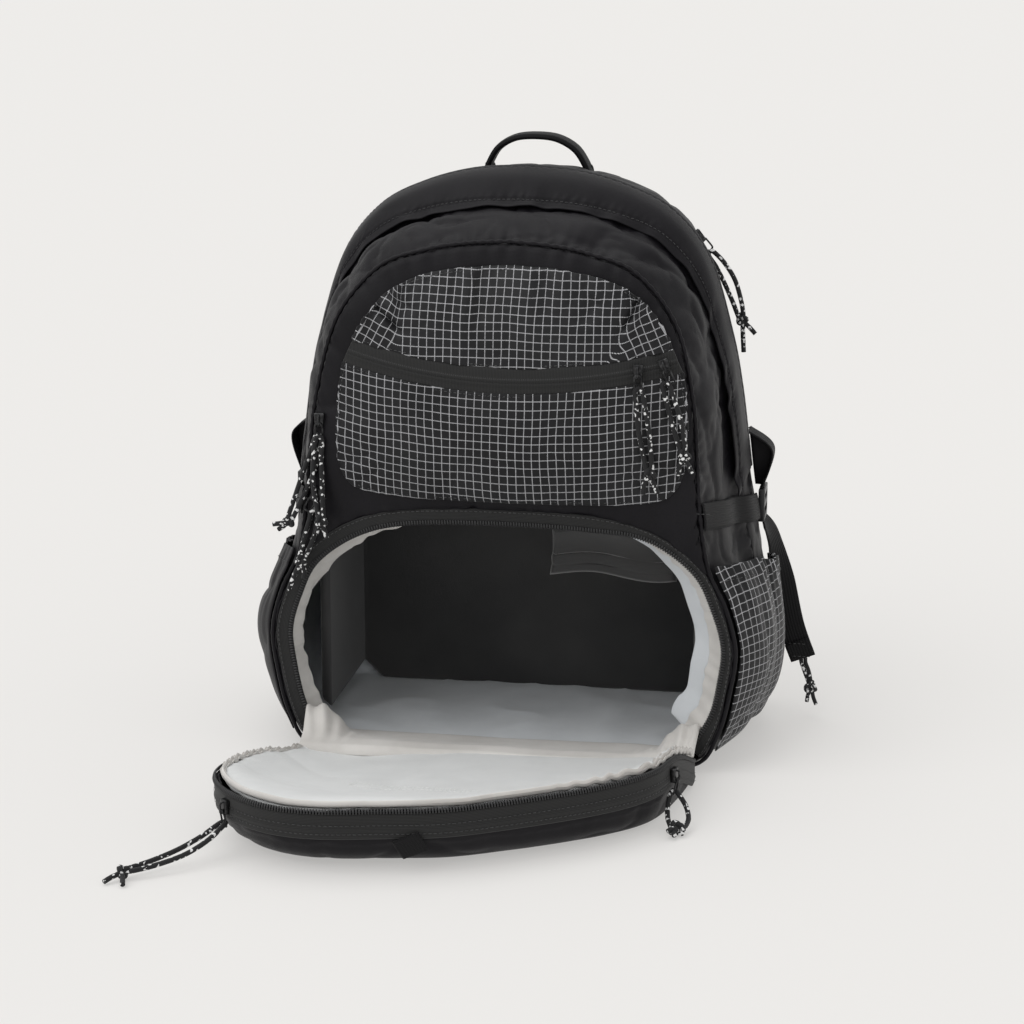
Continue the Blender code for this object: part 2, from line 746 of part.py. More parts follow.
def extruded(name, outline, y_front, y_back, finish=None):
    """Outline run from front to back: a part if it has a finish, a cutter if not."""
    builder = bmesh.new()
    loft(builder, [[(x, y, z) for x, z in outline] for y in (y_front, y_back)])
    return add_cutter(name, builder) if finish is None else add_part(name, builder, finish)


def make_insert():
    """Padded black insert that stands in the compartment, open in front and below."""
    foot = LINER_CLEAR + LINING_CLOTH + GAP
    back = skin(LINER_STATIONS[-1], 5.0).y - LINING_CLOTH - 4 * GAP
    outline = arch_outline(INSERT_WIDTH, foot + INSERT_HEIGHT, foot, INSERT_CORNER, INSERT_FOOT)
    insert = extruded("padded_insert", outline, back - INSERT_DEPTH, back, BLACK_NYLON)
    hollow = arch_outline(INSERT_WIDTH - 2 * INSERT_WALL, foot + INSERT_HEIGHT - INSERT_WALL,
                          foot - INSERT_FOOT, INSERT_CORNER - INSERT_WALL, INSERT_FOOT)
    room = extruded("insert_room", hollow, back - INSERT_DEPTH - INSERT_WALL, back - INSERT_WALL)
    combine(insert, room, "DIFFERENCE")


# Door

def door_rim(count=41):
    line = smooth_line([Vector((x * FRONT_WIDTH / 2, -BODY_DEPTH / 2 - y * DOOR_LENGTH, 0.0))
                        for x, y in DOOR_RIM], 4)
    return resample(line, count)


def door_point(s, v, rim, section=DOOR_SECTION, foot=GAP, edge_clear=0.0):
    """Face of the door, s runs along the hinge and v from hinge to rim."""
    place = s * (len(rim) - 1)
    row = min(int(place), len(rim) - 2)
    edge = rim[row].lerp(rim[row + 1], place - row)
    near = rim[0].x + (rim[-1].x - rim[0].x) * s
    hinge = Vector((near, -BODY_DEPTH / 2 - 2 * GAP, 0.0))
    way, rise = curve_at(section, v * (len(section) - 1))
    ends = ease(min(s, 1 - s) / 0.16)
    height = DOOR_DEPTH * (0.30 + 0.70 * ends) * rise
    point = hinge.lerp(edge, way * (1 - edge_clear / (edge - hinge).length))
    point.z = max(height, 0.0) + foot
    return point


def door_normal(s, v, rim, section=DOOR_SECTION):
    step = 0.01
    right, left = min(s + step, 1.0), max(s - step, 0.0)
    along = door_point(right, v, rim, section) - door_point(left, v, rim, section)
    far, near = min(v + step, 1.0), max(v - step, 0.0)
    out = door_point(s, far, rim, section) - door_point(s, near, rim, section)
    return out.cross(along).normalized()


def door_patch(name, section, foot, wall, finish, end=DOOR_END, clear=0.0):
    """Sheet of the door between its hinge and its rim."""
    rim = door_rim()
    under, over = [], []
    for s in spread(end, 1 - end, DOOR_COLUMNS):
        shares = [i / (len(section) - 1) for i in range(len(section))]
        low = [door_point(s, v, rim, section, foot, clear) for v in shares]
        under.append(low)
        over.append([p + door_normal(s, v, rim, section) * wall for p, v in zip(low, shares)])
    return solid_between(name, under, over, finish)


def make_door():
    door_patch("door_shell", DOOR_SECTION, GAP, DOOR_CLOTH, BLACK_NYLON)
    door_patch("door_lining", DOOR_LINING, DOOR_CLOTH + 6 * GAP, DOOR_PAD, GREY_LINING, 2 * DOOR_END,
               DOOR_LINING_EDGE)
    rim = door_rim()
    sections, coils = [], []
    for s in spread(DOOR_END, 1 - DOOR_END, DOOR_COLUMNS):
        top = door_point(s, 1.0, rim)
        outside = -door_normal(s, 1.0, rim)
        low = door_point(s, 0.93, rim)
        down = (low - top).normalized()
        base = top + outside * 3 * GAP
        drop = base + down * DOOR_TAPE_HEIGHT
        sections.append([base, base + outside * TAPE_THICK, drop + outside * TAPE_THICK, drop])
        middle = top - down * (COIL_DIAMETER / 2 + GAP) + outside * TAPE_THICK / 2
        across = outside * COIL_DIAMETER / 2
        upward = down * COIL_DIAMETER / 2
        coils.append([middle + across * math.cos(a) + upward * math.sin(a)
                      for a in (math.pi / 3 * i for i in range(6))])
    swept("door_tape", sections, BLACK_NYLON)
    swept("door_coil", coils, BLACK_PLASTIC)
    s = 0.47
    out = -door_normal(s, 0.97, rim) * (TAPE_THICK + 4 * GAP + WEB_THICK / 2)
    start, middle, end = (door_point(s, v, rim) + out for v in (0.93, 0.86, 0.78))
    across = door_point(s + 0.01, 0.9, rim) - door_point(s - 0.01, 0.9, rim)
    for point in (start, middle, end):
        point.z = max(point.z, 2 * GAP + WEB_THICK / 2)
    ribbon("door_tab", [start, middle, end], [across] * 3, DOOR_TAB_WIDTH, WEB_THICK, BLACK_WEBBING)


# Sides

def make_bottle_pocket(label, side):
    front, rear = skin(5.8, 5.0).y, BOTTLE_REAR
    foot = BOTTLE_FOOT
    depth = BOTTLE_DEPTH_RIGHT if side > 0 else BOTTLE_DEPTH_LEFT

    def bulge(across, upward):
        belly = math.sin(math.pi * min(upward * 0.72, 1.0)) ** 0.7 if upward > 0 else 0.0
        return depth * math.sin(math.pi * across) ** 0.8 * belly if 0 < across < 1 else 0.0
    outer, inner = [], []
    for upward in spread(0.0, 1.0, 7):
        outside, inside = [], []
        for across in spread(0.0, 1.0, 9):
            y = front + (rear - front) * across
            z = foot + (BOTTLE_HEIGHT - BOTTLE_DROP * across - foot) * upward
            lift = 4 * GAP + bulge(across, upward)
            inside.append(flank(y, z, lift, side))
            outside.append(flank(y, z, lift + BOTTLE_CLOTH, side))
        outer.append(outside)
        inner.append(inside)
    solid_between("bottle_pocket_" + label, outer, inner, GRID_CLOTH)


def make_side_strap(label, side):
    """Band across the side, a webbing loop, a ladder lock and a loose tail."""
    front, rear = skin(5.9, 7.5).y, LOCK_PLACE - LOCK_WIDTH / 2 - 2 * GAP
    outer, inner = [], []
    for edge in (-WEB_WIDTH / 2, WEB_WIDTH / 2):
        row = [(y, BAND_PLACE + edge + BAND_RISE * (rear - y) / (rear - front))
               for y in spread(front, rear, 9)]
        inner.append([flank(y, z, SIDE_LIFT, side) for y, z in row])
        outer.append([flank(y, z, SIDE_LIFT + WEB_THICK, side) for y, z in row])
    solid_between("side_band_" + label, outer, inner, BLACK_WEBBING)

    seat = flank(LOCK_PLACE, BAND_PLACE, 0.0, side)
    off = Vector((side, 0.0, 0.0))
    middle = seat + off * (LOCK_THICK / 2 + WEB_THICK + 4 * GAP)
    lock = block("ladder_lock_" + label, (LOCK_THICK, LOCK_WIDTH, LOCK_LENGTH), BLACK_PLASTIC)
    lock.location = middle
    for name, rise in (("upper", LOCK_LENGTH * 0.2), ("lower", -LOCK_LENGTH * 0.2)):
        slot = block(f"lock_slot_{name}_{label}", (LOCK_THICK * 3, WEB_WIDTH + 2 * GAP, LOCK_LENGTH * 0.2))
        slot.location = middle + Vector((0.0, 0.0, rise))
        combine(lock, slot, "DIFFERENCE")

    top = flank(LOCK_PLACE, BAND_PLACE + LOOP_RISE, WEB_THICK / 2 + GAP, side)
    lead = Vector((middle.x, middle.y, middle.z + LOCK_LENGTH / 2 + 2 * GAP))
    bow = Vector((lead.x + side * LOOP_BOW, LOCK_PLACE, (top.z + lead.z) / 2 + LOOP_BOW))
    width = [Vector((0.0, 1.0, 0.0))] * 3
    ribbon("lock_loop_" + label, [top, bow, lead], width, WEB_WIDTH, WEB_THICK, BLACK_WEBBING)

    foot = Vector((middle.x, middle.y, middle.z - LOCK_LENGTH / 2 - 2 * GAP))
    rear = BOTTLE_REAR + WEB_WIDTH / 2
    route = TAIL_RIGHT if side > 0 else TAIL_LEFT
    points, ways = [foot], [Vector((0.0, 1.0, 0.0))]
    for outward, back, up, face_out, face_back in route:
        points.append(Vector((foot.x + side * outward, rear + back, foot.z + up)))
        ways.append(Vector((face_out, face_back, 0.0)))
    ribbon("strap_tail_" + label, points, ways, WEB_WIDTH, WEB_THICK, BLACK_WEBBING)
    return points[-1], (points[-1] - points[-2]).normalized()


def make_handle():
    place = HANDLE_PLACE
    lift = HANDLE_THICK / 2 + GAP

    def seat(x):
        height = max(crown(x, place + d, lift).z for d in (-WEB_WIDTH / 2, 0.0, WEB_WIDTH / 2))
        return Vector((x, place, height))
    half = HANDLE_SPAN / 2
    top = crown(0.0, place, HANDLE_RISE)
    inner = seat(half * 0.80)
    right = [seat(half * 1.22), seat(half), Vector((inner.x, place, inner.z + 0.008)),
             Vector((half * 0.44, place, top.z - 0.003))]
    left = [Vector((-p.x, p.y, p.z)) for p in right[::-1]]
    line = right + [Vector((0.0, place, top.z))] + left
    ribbon("grab_handle", line, [Vector((0.0, 1.0, 0.0))] * len(line), WEB_WIDTH, HANDLE_THICK,
           BLACK_WEBBING)


def make_shoulder_strap(label, side):
    """Padded strap behind the back with a webbing that runs to the lower corner."""
    low, high = STATIONS[0][3:]
    across = Vector((1.0, 0.0, side * STRAP_TWIST))
    line = []
    for x, off, share in STRAP_LINE:
        z = share * BODY_HEIGHT
        line.append(Vector((side * x, depth_at(low, high, z) + STRAP_THICK / 2 + off, z)))
    ribbon("shoulder_strap_" + label, line, [across] * len(line), STRAP_WIDTH, STRAP_THICK, BLACK_NYLON)
    end = line[-1]
    middle = Vector((end.x, end.y, end.z - LOCK_LENGTH / 2 - STRAP_LOCK_DROP))
    lock = block("shoulder_lock_" + label, (LOCK_WIDTH, LOCK_THICK, LOCK_LENGTH), BLACK_PLASTIC)
    lock.location = middle
    slot = block("shoulder_slot_" + label, (WEB_WIDTH, LOCK_THICK * 3, LOCK_LENGTH * 0.3))
    slot.location = middle
    combine(lock, slot, "DIFFERENCE")
    web = [middle - Vector((0.0, 0.0, LOCK_LENGTH / 2 + WEB_THICK))]
    web += [Vector((side * x, BODY_DEPTH / 2 + off, share * BODY_HEIGHT)) for x, off, share in STRAP_WEB_LINE]
    ribbon("shoulder_webbing_" + label, web, [across] * len(web), WEB_WIDTH, WEB_THICK, BLACK_WEBBING)


# Sliders, pull cords and knots

def make_slider(name, place, turn):
    """Slider with a flat wire loop, as one solid. Returns where a cord bends under the loop."""
    slider = block(name, (SLIDER_WIDTH, SLIDER_THICK, SLIDER_LENGTH), BLACK_METAL)
    puller = block(name + "_puller", (PULLER_WIDTH, PULLER_THICK, PULLER_LENGTH))
    eye = block(name + "_eye", (PULLER_WIDTH * 0.5, PULLER_THICK * 3, PULLER_LENGTH * 0.5))
    reach = SLIDER_LENGTH / 2 + PULLER_LENGTH / 2 - PULLER_SEAT
    spin = Euler(turn).to_matrix()
    slider.rotation_euler = turn
    slider.location = place
    for tool, drop in ((puller, reach), (eye, reach + PULLER_LENGTH * 0.12)):
        tool.rotation_euler = turn
        tool.location = place + spin @ Vector((0.0, 0.0, -drop))
    combine(slider, puller, "UNION")
    combine(slider, eye, "DIFFERENCE")
    return place + spin @ Vector((0.0, 0.0, -reach - PULLER_LENGTH / 2 - CORD_DIAMETER / 2 - GAP))


def make_sliders():
    """All the sliders. Returns where a cord bends under the loop of each."""
    out = SLIDER_THICK / 2 + 3 * GAP
    bends = {}
    for name, (x, lift, lean) in POCKET_SLIDERS.items():
        local = x - POCKET_SHIFT
        z = pocket_zip_z(local, 0.0)
        y = front_y(x, z) - pocket_puff(local, z) - POCKET_CLOTH - out - lift
        bends[name] = make_slider(name, Vector((x, y, z)), (0.0, lean, 0.0))
    for name, (x, lift, z, lean) in LEFT_SLIDERS.items():
        bends[name] = make_slider(name, Vector((x, front_y(x, z) - out - lift, z)), (0.0, lean, 0.0))
    station, share, lift, lean = RIGHT_SLIDER
    place = off_skin(station, round_at_height(station, share * BODY_HEIGHT), lift)
    bends["main_slider_right"] = make_slider("main_slider_right", place, (0.0, lean, 0.0))
    rim = door_rim()
    for name, (s, lift) in DOOR_SLIDERS.items():
        away = -door_normal(s, 0.99, rim)
        away.z = 0.0
        away.normalize()
        place = door_point(s, 0.97, rim) + away * lift
        place.z = DOOR_SLIDER_HEIGHT
        bends[name] = make_slider(name, place, (0.0, 0.0, math.atan2(away.x, -away.y)))
    return bends


def make_knot(name, place):
    builder = bmesh.new()
    bmesh.ops.create_uvsphere(builder, u_segments=8, v_segments=4, radius=KNOT_DIAMETER / 2)
    knot = add_part(name, builder, CORD_BRAID)
    knot.location = place


def pull_route(bend, knot, facing, width):
    """Cord bent under a loop: both strands run to the knot, apart in the middle."""
    along = (knot - bend).normalized()
    across = along.cross(facing).normalized() * width / 2
    end = knot - along * KNOT_DIAMETER / 2
    middles = [(bend.lerp(end, way), across * share) for way, share in PULL_SHAPE]
    return [p - side for p, side in middles[::-1]] + [bend] + [p + side for p, side in middles]


def make_pulls(bends):
    for label, (slider, before, x, y, z, width) in PULLS.items():
        knot = Vector((x, y, z))
        facing = Vector((0.0, 0.0, 1.0)) if slider in DOOR_SLIDERS else Vector((0.0, -1.0, 0.0))
        bend = bends[slider] + Vector((0.0, -before, 0.0))
        tube("pull_cord_" + label, pull_route(bend, knot, facing, width), CORD_DIAMETER, CORD_BRAID)
        make_knot("pull_knot_" + label, knot)


def make_tail_cord(end, way):
    """Short cord sewn to the end of the right strap tail, with a knot."""
    start = end + way * 2 * GAP
    line = [start + Vector((way.x * f, way.y * f, -f)) * TAIL_CORD_LENGTH for f in spread(0.0, 1.0, 4)]
    tube("tail_cord", line, TAIL_CORD_DIAMETER, CORD_BRAID)
    make_knot("tail_knot", line[-1] + Vector((0.0, 0.0, -KNOT_DIAMETER / 2 - GAP)))


def main():
    clear_scene()
    make_back_panel()
    make_shell()
    make_storm_flap()
    make_front_panel()
    make_pocket()
    make_opening()
    make_liner()
    make_insert()
    make_door()
    make_bottle_pocket("left", -1)
    make_bottle_pocket("right", 1)
    make_side_strap("left", -1)
    make_tail_cord(*make_side_strap("right", 1))
    make_shoulder_strap("left", -1)
    make_shoulder_strap("right", 1)
    make_handle()
    make_pulls(make_sliders())


clear_scene()
PARTS = collection("backpack")
CUTTERS = collection("cutters")
main()
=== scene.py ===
import math

import bmesh
import bpy
import numpy as np
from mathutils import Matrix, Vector, noise


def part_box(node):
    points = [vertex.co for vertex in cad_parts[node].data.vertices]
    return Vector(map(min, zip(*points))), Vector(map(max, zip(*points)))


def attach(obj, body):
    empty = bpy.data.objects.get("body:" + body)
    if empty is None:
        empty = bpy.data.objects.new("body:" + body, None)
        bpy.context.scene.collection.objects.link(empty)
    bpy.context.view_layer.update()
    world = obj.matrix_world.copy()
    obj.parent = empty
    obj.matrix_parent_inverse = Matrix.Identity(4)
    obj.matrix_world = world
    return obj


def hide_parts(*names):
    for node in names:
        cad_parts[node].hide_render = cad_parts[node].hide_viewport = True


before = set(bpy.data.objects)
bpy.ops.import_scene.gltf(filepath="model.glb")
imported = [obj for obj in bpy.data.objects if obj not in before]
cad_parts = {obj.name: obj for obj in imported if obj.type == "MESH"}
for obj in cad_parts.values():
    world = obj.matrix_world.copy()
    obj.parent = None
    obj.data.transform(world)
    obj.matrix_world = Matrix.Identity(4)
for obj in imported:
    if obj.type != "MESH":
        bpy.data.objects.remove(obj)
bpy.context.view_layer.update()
bpy.ops.object.select_all(action="DESELECT")

# Sizes of the bag, in metres
HEIGHT, WIDTH, DEPTH = 0.440, 0.385, 0.200
FRONT_HEIGHT, FRONT_WIDTH = 0.398, 0.356
FRONT = -DEPTH / 2
# Stations of the main zip and the front seam, and the last row of the half outline
ZIP_ROW = 3.2
FRONT_ROW = 6.0
LAST = 15
# The storm flap's first station and its reach in stations, its height off the skin and its rise to the free edge
FLAP_START, FLAP_REACH = 2.4, 1.4
FLAP_LIFT, FLAP_RISE = 0.0022, 0.003
# Cloth, webbing, thread and cords
CLOTH_WALL, LINING_WALL, RIM_SHARE = 0.0013, 0.0012, 0.45
WEB_WIDTH, WEB_THICK = 0.020, 0.0016
STITCH_LENGTH, STITCH_GAP, STITCH_LIFT = 0.0026, 0.0011, 0.00005
THREAD_PITCH, GRID_PITCH = 0.0009, 0.0062
PULL_CORD, TAIL_CORD = 0.0037, 0.0032
WIRE_BEND = 0.0022
# Height off the ground that the door's lining is built up from
DOOR_LINING_FOOT = 0.0038
SIDES = (("right", 1), ("left", -1))
# The view: place, angle down and turn in degrees, distance in picture widths, and picture width in mm
VIEW_PLACE = (0.36740, -2.24497, 0.76076)
VIEW_DOWN, VIEW_TURN = 14.5, 9.5
VIEW_REACH, VIEW_WIDTH = 3000 / 1024, 36.0
# Suns: place that they shine from, strength and spread in degrees
SUNS = {"key": ((-1.3, -1.2, 1.9), 0.85, 50), "fill": ((1.5, -1.2, 1.0), 0.03, 60), "top": ((-0.3, 0.4, 2.0), 0.60, 50)}

# Half outline: body x share, body z share, front x share, front z share
OUTLINE = np.array((
    (0.00, 0.000, 0.00, 0.000), (0.42, 0.000, 0.45, 0.000), (0.81, 0.000, 0.82, 0.012),
    (0.955, 0.030, 0.93, 0.075), (1.00, 0.105, 0.985, 0.175), (0.995, 0.205, 1.00, 0.250),
    (0.965, 0.320, 0.955, 0.327), (0.925, 0.425, 0.88, 0.400), (0.893, 0.535, 0.842, 0.500),
    (0.865, 0.625, 0.826, 0.600), (0.824, 0.715, 0.80, 0.716), (0.730, 0.848, 0.72, 0.852),
    (0.587, 0.928, 0.545, 0.947), (0.410, 0.969, 0.337, 0.982), (0.212, 0.993, 0.17, 0.995),
    (0.00, 1.000, 0.00, 1.000)))
# Stations from the back: front share, width share, height share, depth share low, depth share high
STATIONS = np.array((
    (0.00, 0.90, 0.957, 0.00, 0.03), (0.00, 0.965, 0.990, 0.08, 0.11), (0.00, 1.00, 1.000, 0.30, 0.30),
    (0.00, 0.995, 0.992, 0.50, 0.48), (0.30, 0.985, 0.966, 0.62, 0.575), (0.65, 1.02, 1.000, 0.80, 0.70),
    (1.00, 1.00, 1.000, 1.00, 0.86)))


# The bag's surface

def curve_at(table, place):
    """Smooth curve through the rows of a table, read at many places at once."""
    last = len(table) - 1
    place = np.clip(np.asarray(place, float), 0, last)
    row = np.minimum(place.astype(int), last - 1)
    f = (place - row)[..., None]
    a, b = table[np.maximum(row - 1, 0)], table[row]
    c, d = table[row + 1], table[np.minimum(row + 2, last)]
    return 0.5 * (2 * b + (c - a) * f + (2 * a - 5 * b + 4 * c - d) * f ** 2
                  + (3 * b - a - 3 * c + d) * f ** 3)


def ease(value):
    """Smooth step from 0 to 1."""
    value = np.clip(value, 0.0, 1.0)
    return value * value * (3 - 2 * value)


def lean_y(low, high, z):
    """Depth at a height, for a face that leans back over the top of the bag."""
    return DEPTH * (0.5 - (low + (high - low) * ease((z / HEIGHT - 0.45) / 0.5)))


def skin(u, t):
    """Outside of the bag: u from the back seam to the front seam, t round from the base."""
    u, t = np.broadcast_arrays(np.asarray(u, float), np.asarray(t, float))
    t = t % (2 * LAST)
    s = curve_at(STATIONS, u)
    row = np.where(t <= LAST, t, 2 * LAST - t)
    o = curve_at(OUTLINE, row)
    blend = s[..., 0]
    x = s[..., 1] * ((1 - blend) * o[..., 0] * WIDTH + blend * o[..., 2] * FRONT_WIDTH) / 2
    z = s[..., 2] * ((1 - blend) * o[..., 1] * HEIGHT + blend * o[..., 3] * FRONT_HEIGHT)
    z = np.maximum(z, 0.0)
    x = np.where(t <= LAST, x, -x)
    return np.stack([x, lean_y(s[..., 3], s[..., 4], z), z], -1)


def unit(v):
    """Vectors brought to length 1."""
    return v / np.maximum(np.linalg.norm(v, axis=-1, keepdims=True), 1e-12)


def skin_normal(u, t):
    """Direction out of the bag."""
    e = 0.02
    along = skin(np.minimum(u + e, FRONT_ROW), t) - skin(np.maximum(u - e, 0.0), t)
    return unit(np.cross(skin(u, t + e) - skin(u, t - e), along))


def off_skin(u, t, lift):
    """Points lifted off the skin, never below the floor."""
    p = skin(u, t) + skin_normal(u, t) * np.asarray(lift)[..., None]
    p[..., 2] = np.maximum(p[..., 2], 0.0)
    return p


def where_rises(test, low, high, shape):
    """Place where a test turns true, for a whole grid."""
    low, high = np.full(shape, float(low)), np.full(shape, float(high))
    for _ in range(16):
        middle = (low + high) / 2
        yes = test(middle)
        high, low = np.where(yes, middle, high), np.where(yes, low, middle)
    return (low + high) / 2


def flank(y, z, lift, side=1):
    """Points off the side of the bag at given depths and heights."""
    y, z, lift = np.broadcast_arrays(np.asarray(y, float), np.asarray(z, float), np.asarray(lift, float))

    def at_height(u):
        return where_rises(lambda t: skin(u, t)[..., 2] >= z, 1.9, 12.5, y.shape)
    u = where_rises(lambda s: skin(s, at_height(s))[..., 1] <= y, 0.0, FRONT_ROW, y.shape)
    p = off_skin(u, at_height(u), lift)
    p[..., 0] *= side
    return p


def crown(x, y, lift):
    """Points off the top of the bag."""
    x, y = np.broadcast_arrays(np.asarray(x, float), np.asarray(y, float))
    near = np.abs(x)

    def at_side(u):
        return where_rises(lambda t: skin(u, t)[..., 0] <= near, 9.0, LAST, x.shape)
    u = where_rises(lambda s: skin(s, at_side(s))[..., 1] <= y, 0.0, FRONT_ROW, x.shape)
    p = off_skin(u, at_side(u), lift)
    p[..., 0] = np.copysign(p[..., 0], x)
    return p


# Cloth

def fuzz(p, scale, seed):
    """Smooth noise at the points of a grid."""
    flat = p.reshape(-1, 3) * scale + seed
    return np.array([noise.noise(Vector(q)) for q in flat]).reshape(p.shape[:-1])


def creases(p, scale, seed):
    """Narrow soft ridges, as in crumpled cloth, from 0 to 1."""
    return (1 - np.abs(fuzz(p, scale, seed)) * 2.2).clip(0, 1) ** 3


def run_of(p, axis):
    """Length along a grid's rows or columns."""
    step = np.linalg.norm(np.diff(p, axis=axis), axis=-1)
    pad = [(0, 0), (0, 0)]
    pad[axis] = (1, 0)
    return np.pad(np.cumsum(step, axis=axis), pad)


def grid_normals(p, wrap=False):
    """Normals of a grid of points, whose columns may close on themselves."""
    if wrap:
        wide = np.concatenate([p[:, -2:-1], p, p[:, 1:2]], axis=1)
        across = (wide[:, 2:] - wide[:, :-2]) / 2
    else:
        across = np.gradient(p, axis=1)
    return unit(np.cross(np.gradient(p, axis=0), across))


def run_along(path):
    """Length from the start of a path to each of its points."""
    return np.concatenate([[0], np.cumsum(np.linalg.norm(np.diff(path, axis=0), axis=1))])


def bell(value, middle, width):
    """Smooth hump of height 1 around a middle value."""
    return np.exp(-((value - middle) / width) ** 2)


def wander(line, scale, *seed):
    """Smooth noise along a line of lengths."""
    return np.array([noise.noise(Vector((s * scale, *seed))) for s in line])


def gathers(p, edge, depth, wave, fall, seed=0.0):
    """Puckers that run in from one edge of a grid: 0 first row, 1 last row, 2 first column, 3 last."""
    axis = 0 if edge < 2 else 1
    inward = run_of(p, axis)
    if edge in (1, 3):
        inward = (inward[-1:] if axis == 0 else inward[:, -1:]) - inward
    line = run_of(p, 1 - axis)
    line = line[0 if edge == 0 else -1] if axis == 0 else line[:, 0 if edge == 2 else -1]
    size = 0.65 + 0.7 * wander(line, 40, seed, 5)
    wavy = np.sin(2 * np.pi * line / wave + 5 * wander(line, 25, seed, 0)) * size
    wavy = wavy[None, :] if axis == 0 else wavy[:, None]
    return depth * np.exp(-inward / fall) * wavy


def placed(name, data):
    """New object in the scene."""
    piece = bpy.data.objects.new(name, data)
    bpy.context.scene.collection.objects.link(piece)
    return piece


def finish_mesh(name, verts, faces, loops_uv, material, nodes=(), merge=False):
    """Mesh made into a dressed piece."""
    mesh = bpy.data.meshes.new(name)
    mesh.from_pydata([tuple(v) for v in verts], [], faces)
    if loops_uv is not None:
        layer = mesh.uv_layers.new(name="cloth")
        layer.data.foreach_set("uv", np.asarray(loops_uv, float).ravel())
    builder = bmesh.new()
    builder.from_mesh(mesh)
    if merge:
        bmesh.ops.remove_doubles(builder, verts=builder.verts, dist=1e-6)
    bmesh.ops.recalc_face_normals(builder, faces=builder.faces)
    builder.to_mesh(mesh)
    builder.free()
    mesh.shade_smooth()
    piece = placed(name, mesh)
    dress(piece, material, nodes)
    return piece


def dress(piece, material, nodes=()):
    """Material, body and replaced nodes of a piece."""
    piece.data.materials.clear()
    piece.data.materials.append(material)
    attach(piece, "root")
    if nodes:
        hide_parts(*nodes)


def cloth(name, p, thick, material, nodes=(), uv=None, wrap=False, side=1):
    """Closed cloth wall under a grid of outside points, with a round edge all the way round."""
    rows, cols = p.shape[:2]
    normal = grid_normals(p, wrap) * side
    inner = p - normal * thick
    middle = p - normal * thick / 2
    if uv is None:
        uv = np.stack([run_of(p, 1), run_of(p, 0)], -1)
    out_row = unit(np.gradient(p, axis=0)) * thick * RIM_SHARE
    out_col = unit(np.gradient(p, axis=1)) * thick * RIM_SHARE
    verts = np.concatenate([p.reshape(-1, 3), inner.reshape(-1, 3)])
    flat_uv = uv.reshape(-1, 2)
    count = rows * cols
    r, c = np.meshgrid(np.arange(rows - 1), np.arange(cols - 1), indexing="ij")
    a = (r * cols + c).ravel()
    quads = np.stack([a, a + 1, a + cols + 1, a + cols], -1)
    faces = [tuple(q) for q in quads] + [tuple(q + count) for q in quads[:, ::-1]]
    uv_of = list(range(count)) * 2
    edges = [(list(range(cols)), -out_row[0], middle[0]),
             ([(rows - 1) * cols + i for i in range(cols)], out_row[-1], middle[-1])]
    if not wrap:
        edges += [([i * cols for i in range(rows)], -out_col[:, 0], middle[:, 0]),
                  ([i * cols + cols - 1 for i in range(rows)], out_col[:, -1], middle[:, -1])]
    extra = []
    corner = {}
    for index, shift, place in edges:
        ids = []
        for i, s, m in zip(index, shift, place):
            if i in corner and not wrap:
                ids.append(corner[i])
                extra[corner[i] - 2 * count] = extra[corner[i] - 2 * count] + s
                continue
            extra.append(m + s)
            uv_of.append(i)
            corner[i] = 2 * count + len(extra) - 1
            ids.append(corner[i])
        for k in range(len(index) - 1):
            faces.append((index[k], index[k + 1], ids[k + 1], ids[k]))
            faces.append((ids[k], ids[k + 1], index[k + 1] + count, index[k] + count))
    verts = np.concatenate([verts, np.array(extra)])
    loops = [flat_uv[uv_of[i]] for f in faces for i in f]
    return finish_mesh(name, verts, faces, loops, material, nodes, merge=True)


def smooth_path(points, count):
    """Evenly spaced points on a smooth curve through chosen points."""
    points = np.asarray(points, float)
    dense = curve_at(points, np.linspace(0, len(points) - 1, 40 * len(points)))
    run = run_along(dense)
    goals = np.linspace(0, run[-1], count)
    return np.stack([np.interp(goals, run, dense[:, k]) for k in range(3)], -1)


def ring_faces(rows, cols):
    """Faces between closed rings of points, and a cap at each end."""
    faces = [(i * cols + j, i * cols + (j + 1) % cols, (i + 1) * cols + (j + 1) % cols, (i + 1) * cols + j)
             for i in range(rows - 1) for j in range(cols)]
    return faces + [tuple(i * cols + j for j in range(cols)) for i in (0, rows - 1)]


def strap(name, path, across, width, thick, material, nodes=(), crown_share=0.0):
    """Flat strap with round edges along a path. across gives the width direction."""
    path, across = np.asarray(path), np.asarray(across, float)
    across = unit(np.stack([np.interp(np.linspace(0, 1, len(path)), np.linspace(0, 1, len(across)), across[:, k])
                            for k in range(3)], -1))
    ahead = unit(np.gradient(path, axis=0))
    across = unit(across - ahead * np.sum(across * ahead, -1, keepdims=True))
    face = np.cross(ahead, across)
    section = []
    for half in (1, -1):
        for k in np.linspace(-1, 1, 9):
            section.append((half * k * (width / 2 - thick * 0.4), half * thick / 2 * (1 + crown_share * (1 - k * k))))
        section.append((half * width / 2, 0.0))
    section = np.array(section)
    p = path[:, None] + across[:, None] * section[None, :, 0, None] + face[:, None] * section[None, :, 1, None]
    rows, cols = p.shape[:2]
    faces, run = ring_faces(rows, cols), run_along(path)
    loops = [(section[v % cols][0], run[v // cols]) for face in faces[:-2] for v in face]
    loops += [(section[v % cols][0], run[v // cols] + section[v % cols][1]) for face in faces[-2:] for v in face]
    return finish_mesh(name, p.reshape(-1, 3), faces, loops, material, nodes)


def along(path, spacing):
    """Places, directions and lengths at an even spacing along a path."""
    path = np.asarray(path)
    run = run_along(path)
    goals = np.arange(spacing / 2, run[-1], spacing)
    return np.stack([np.interp(goals, run, path[:, k]) for k in range(3)], -1), goals, run


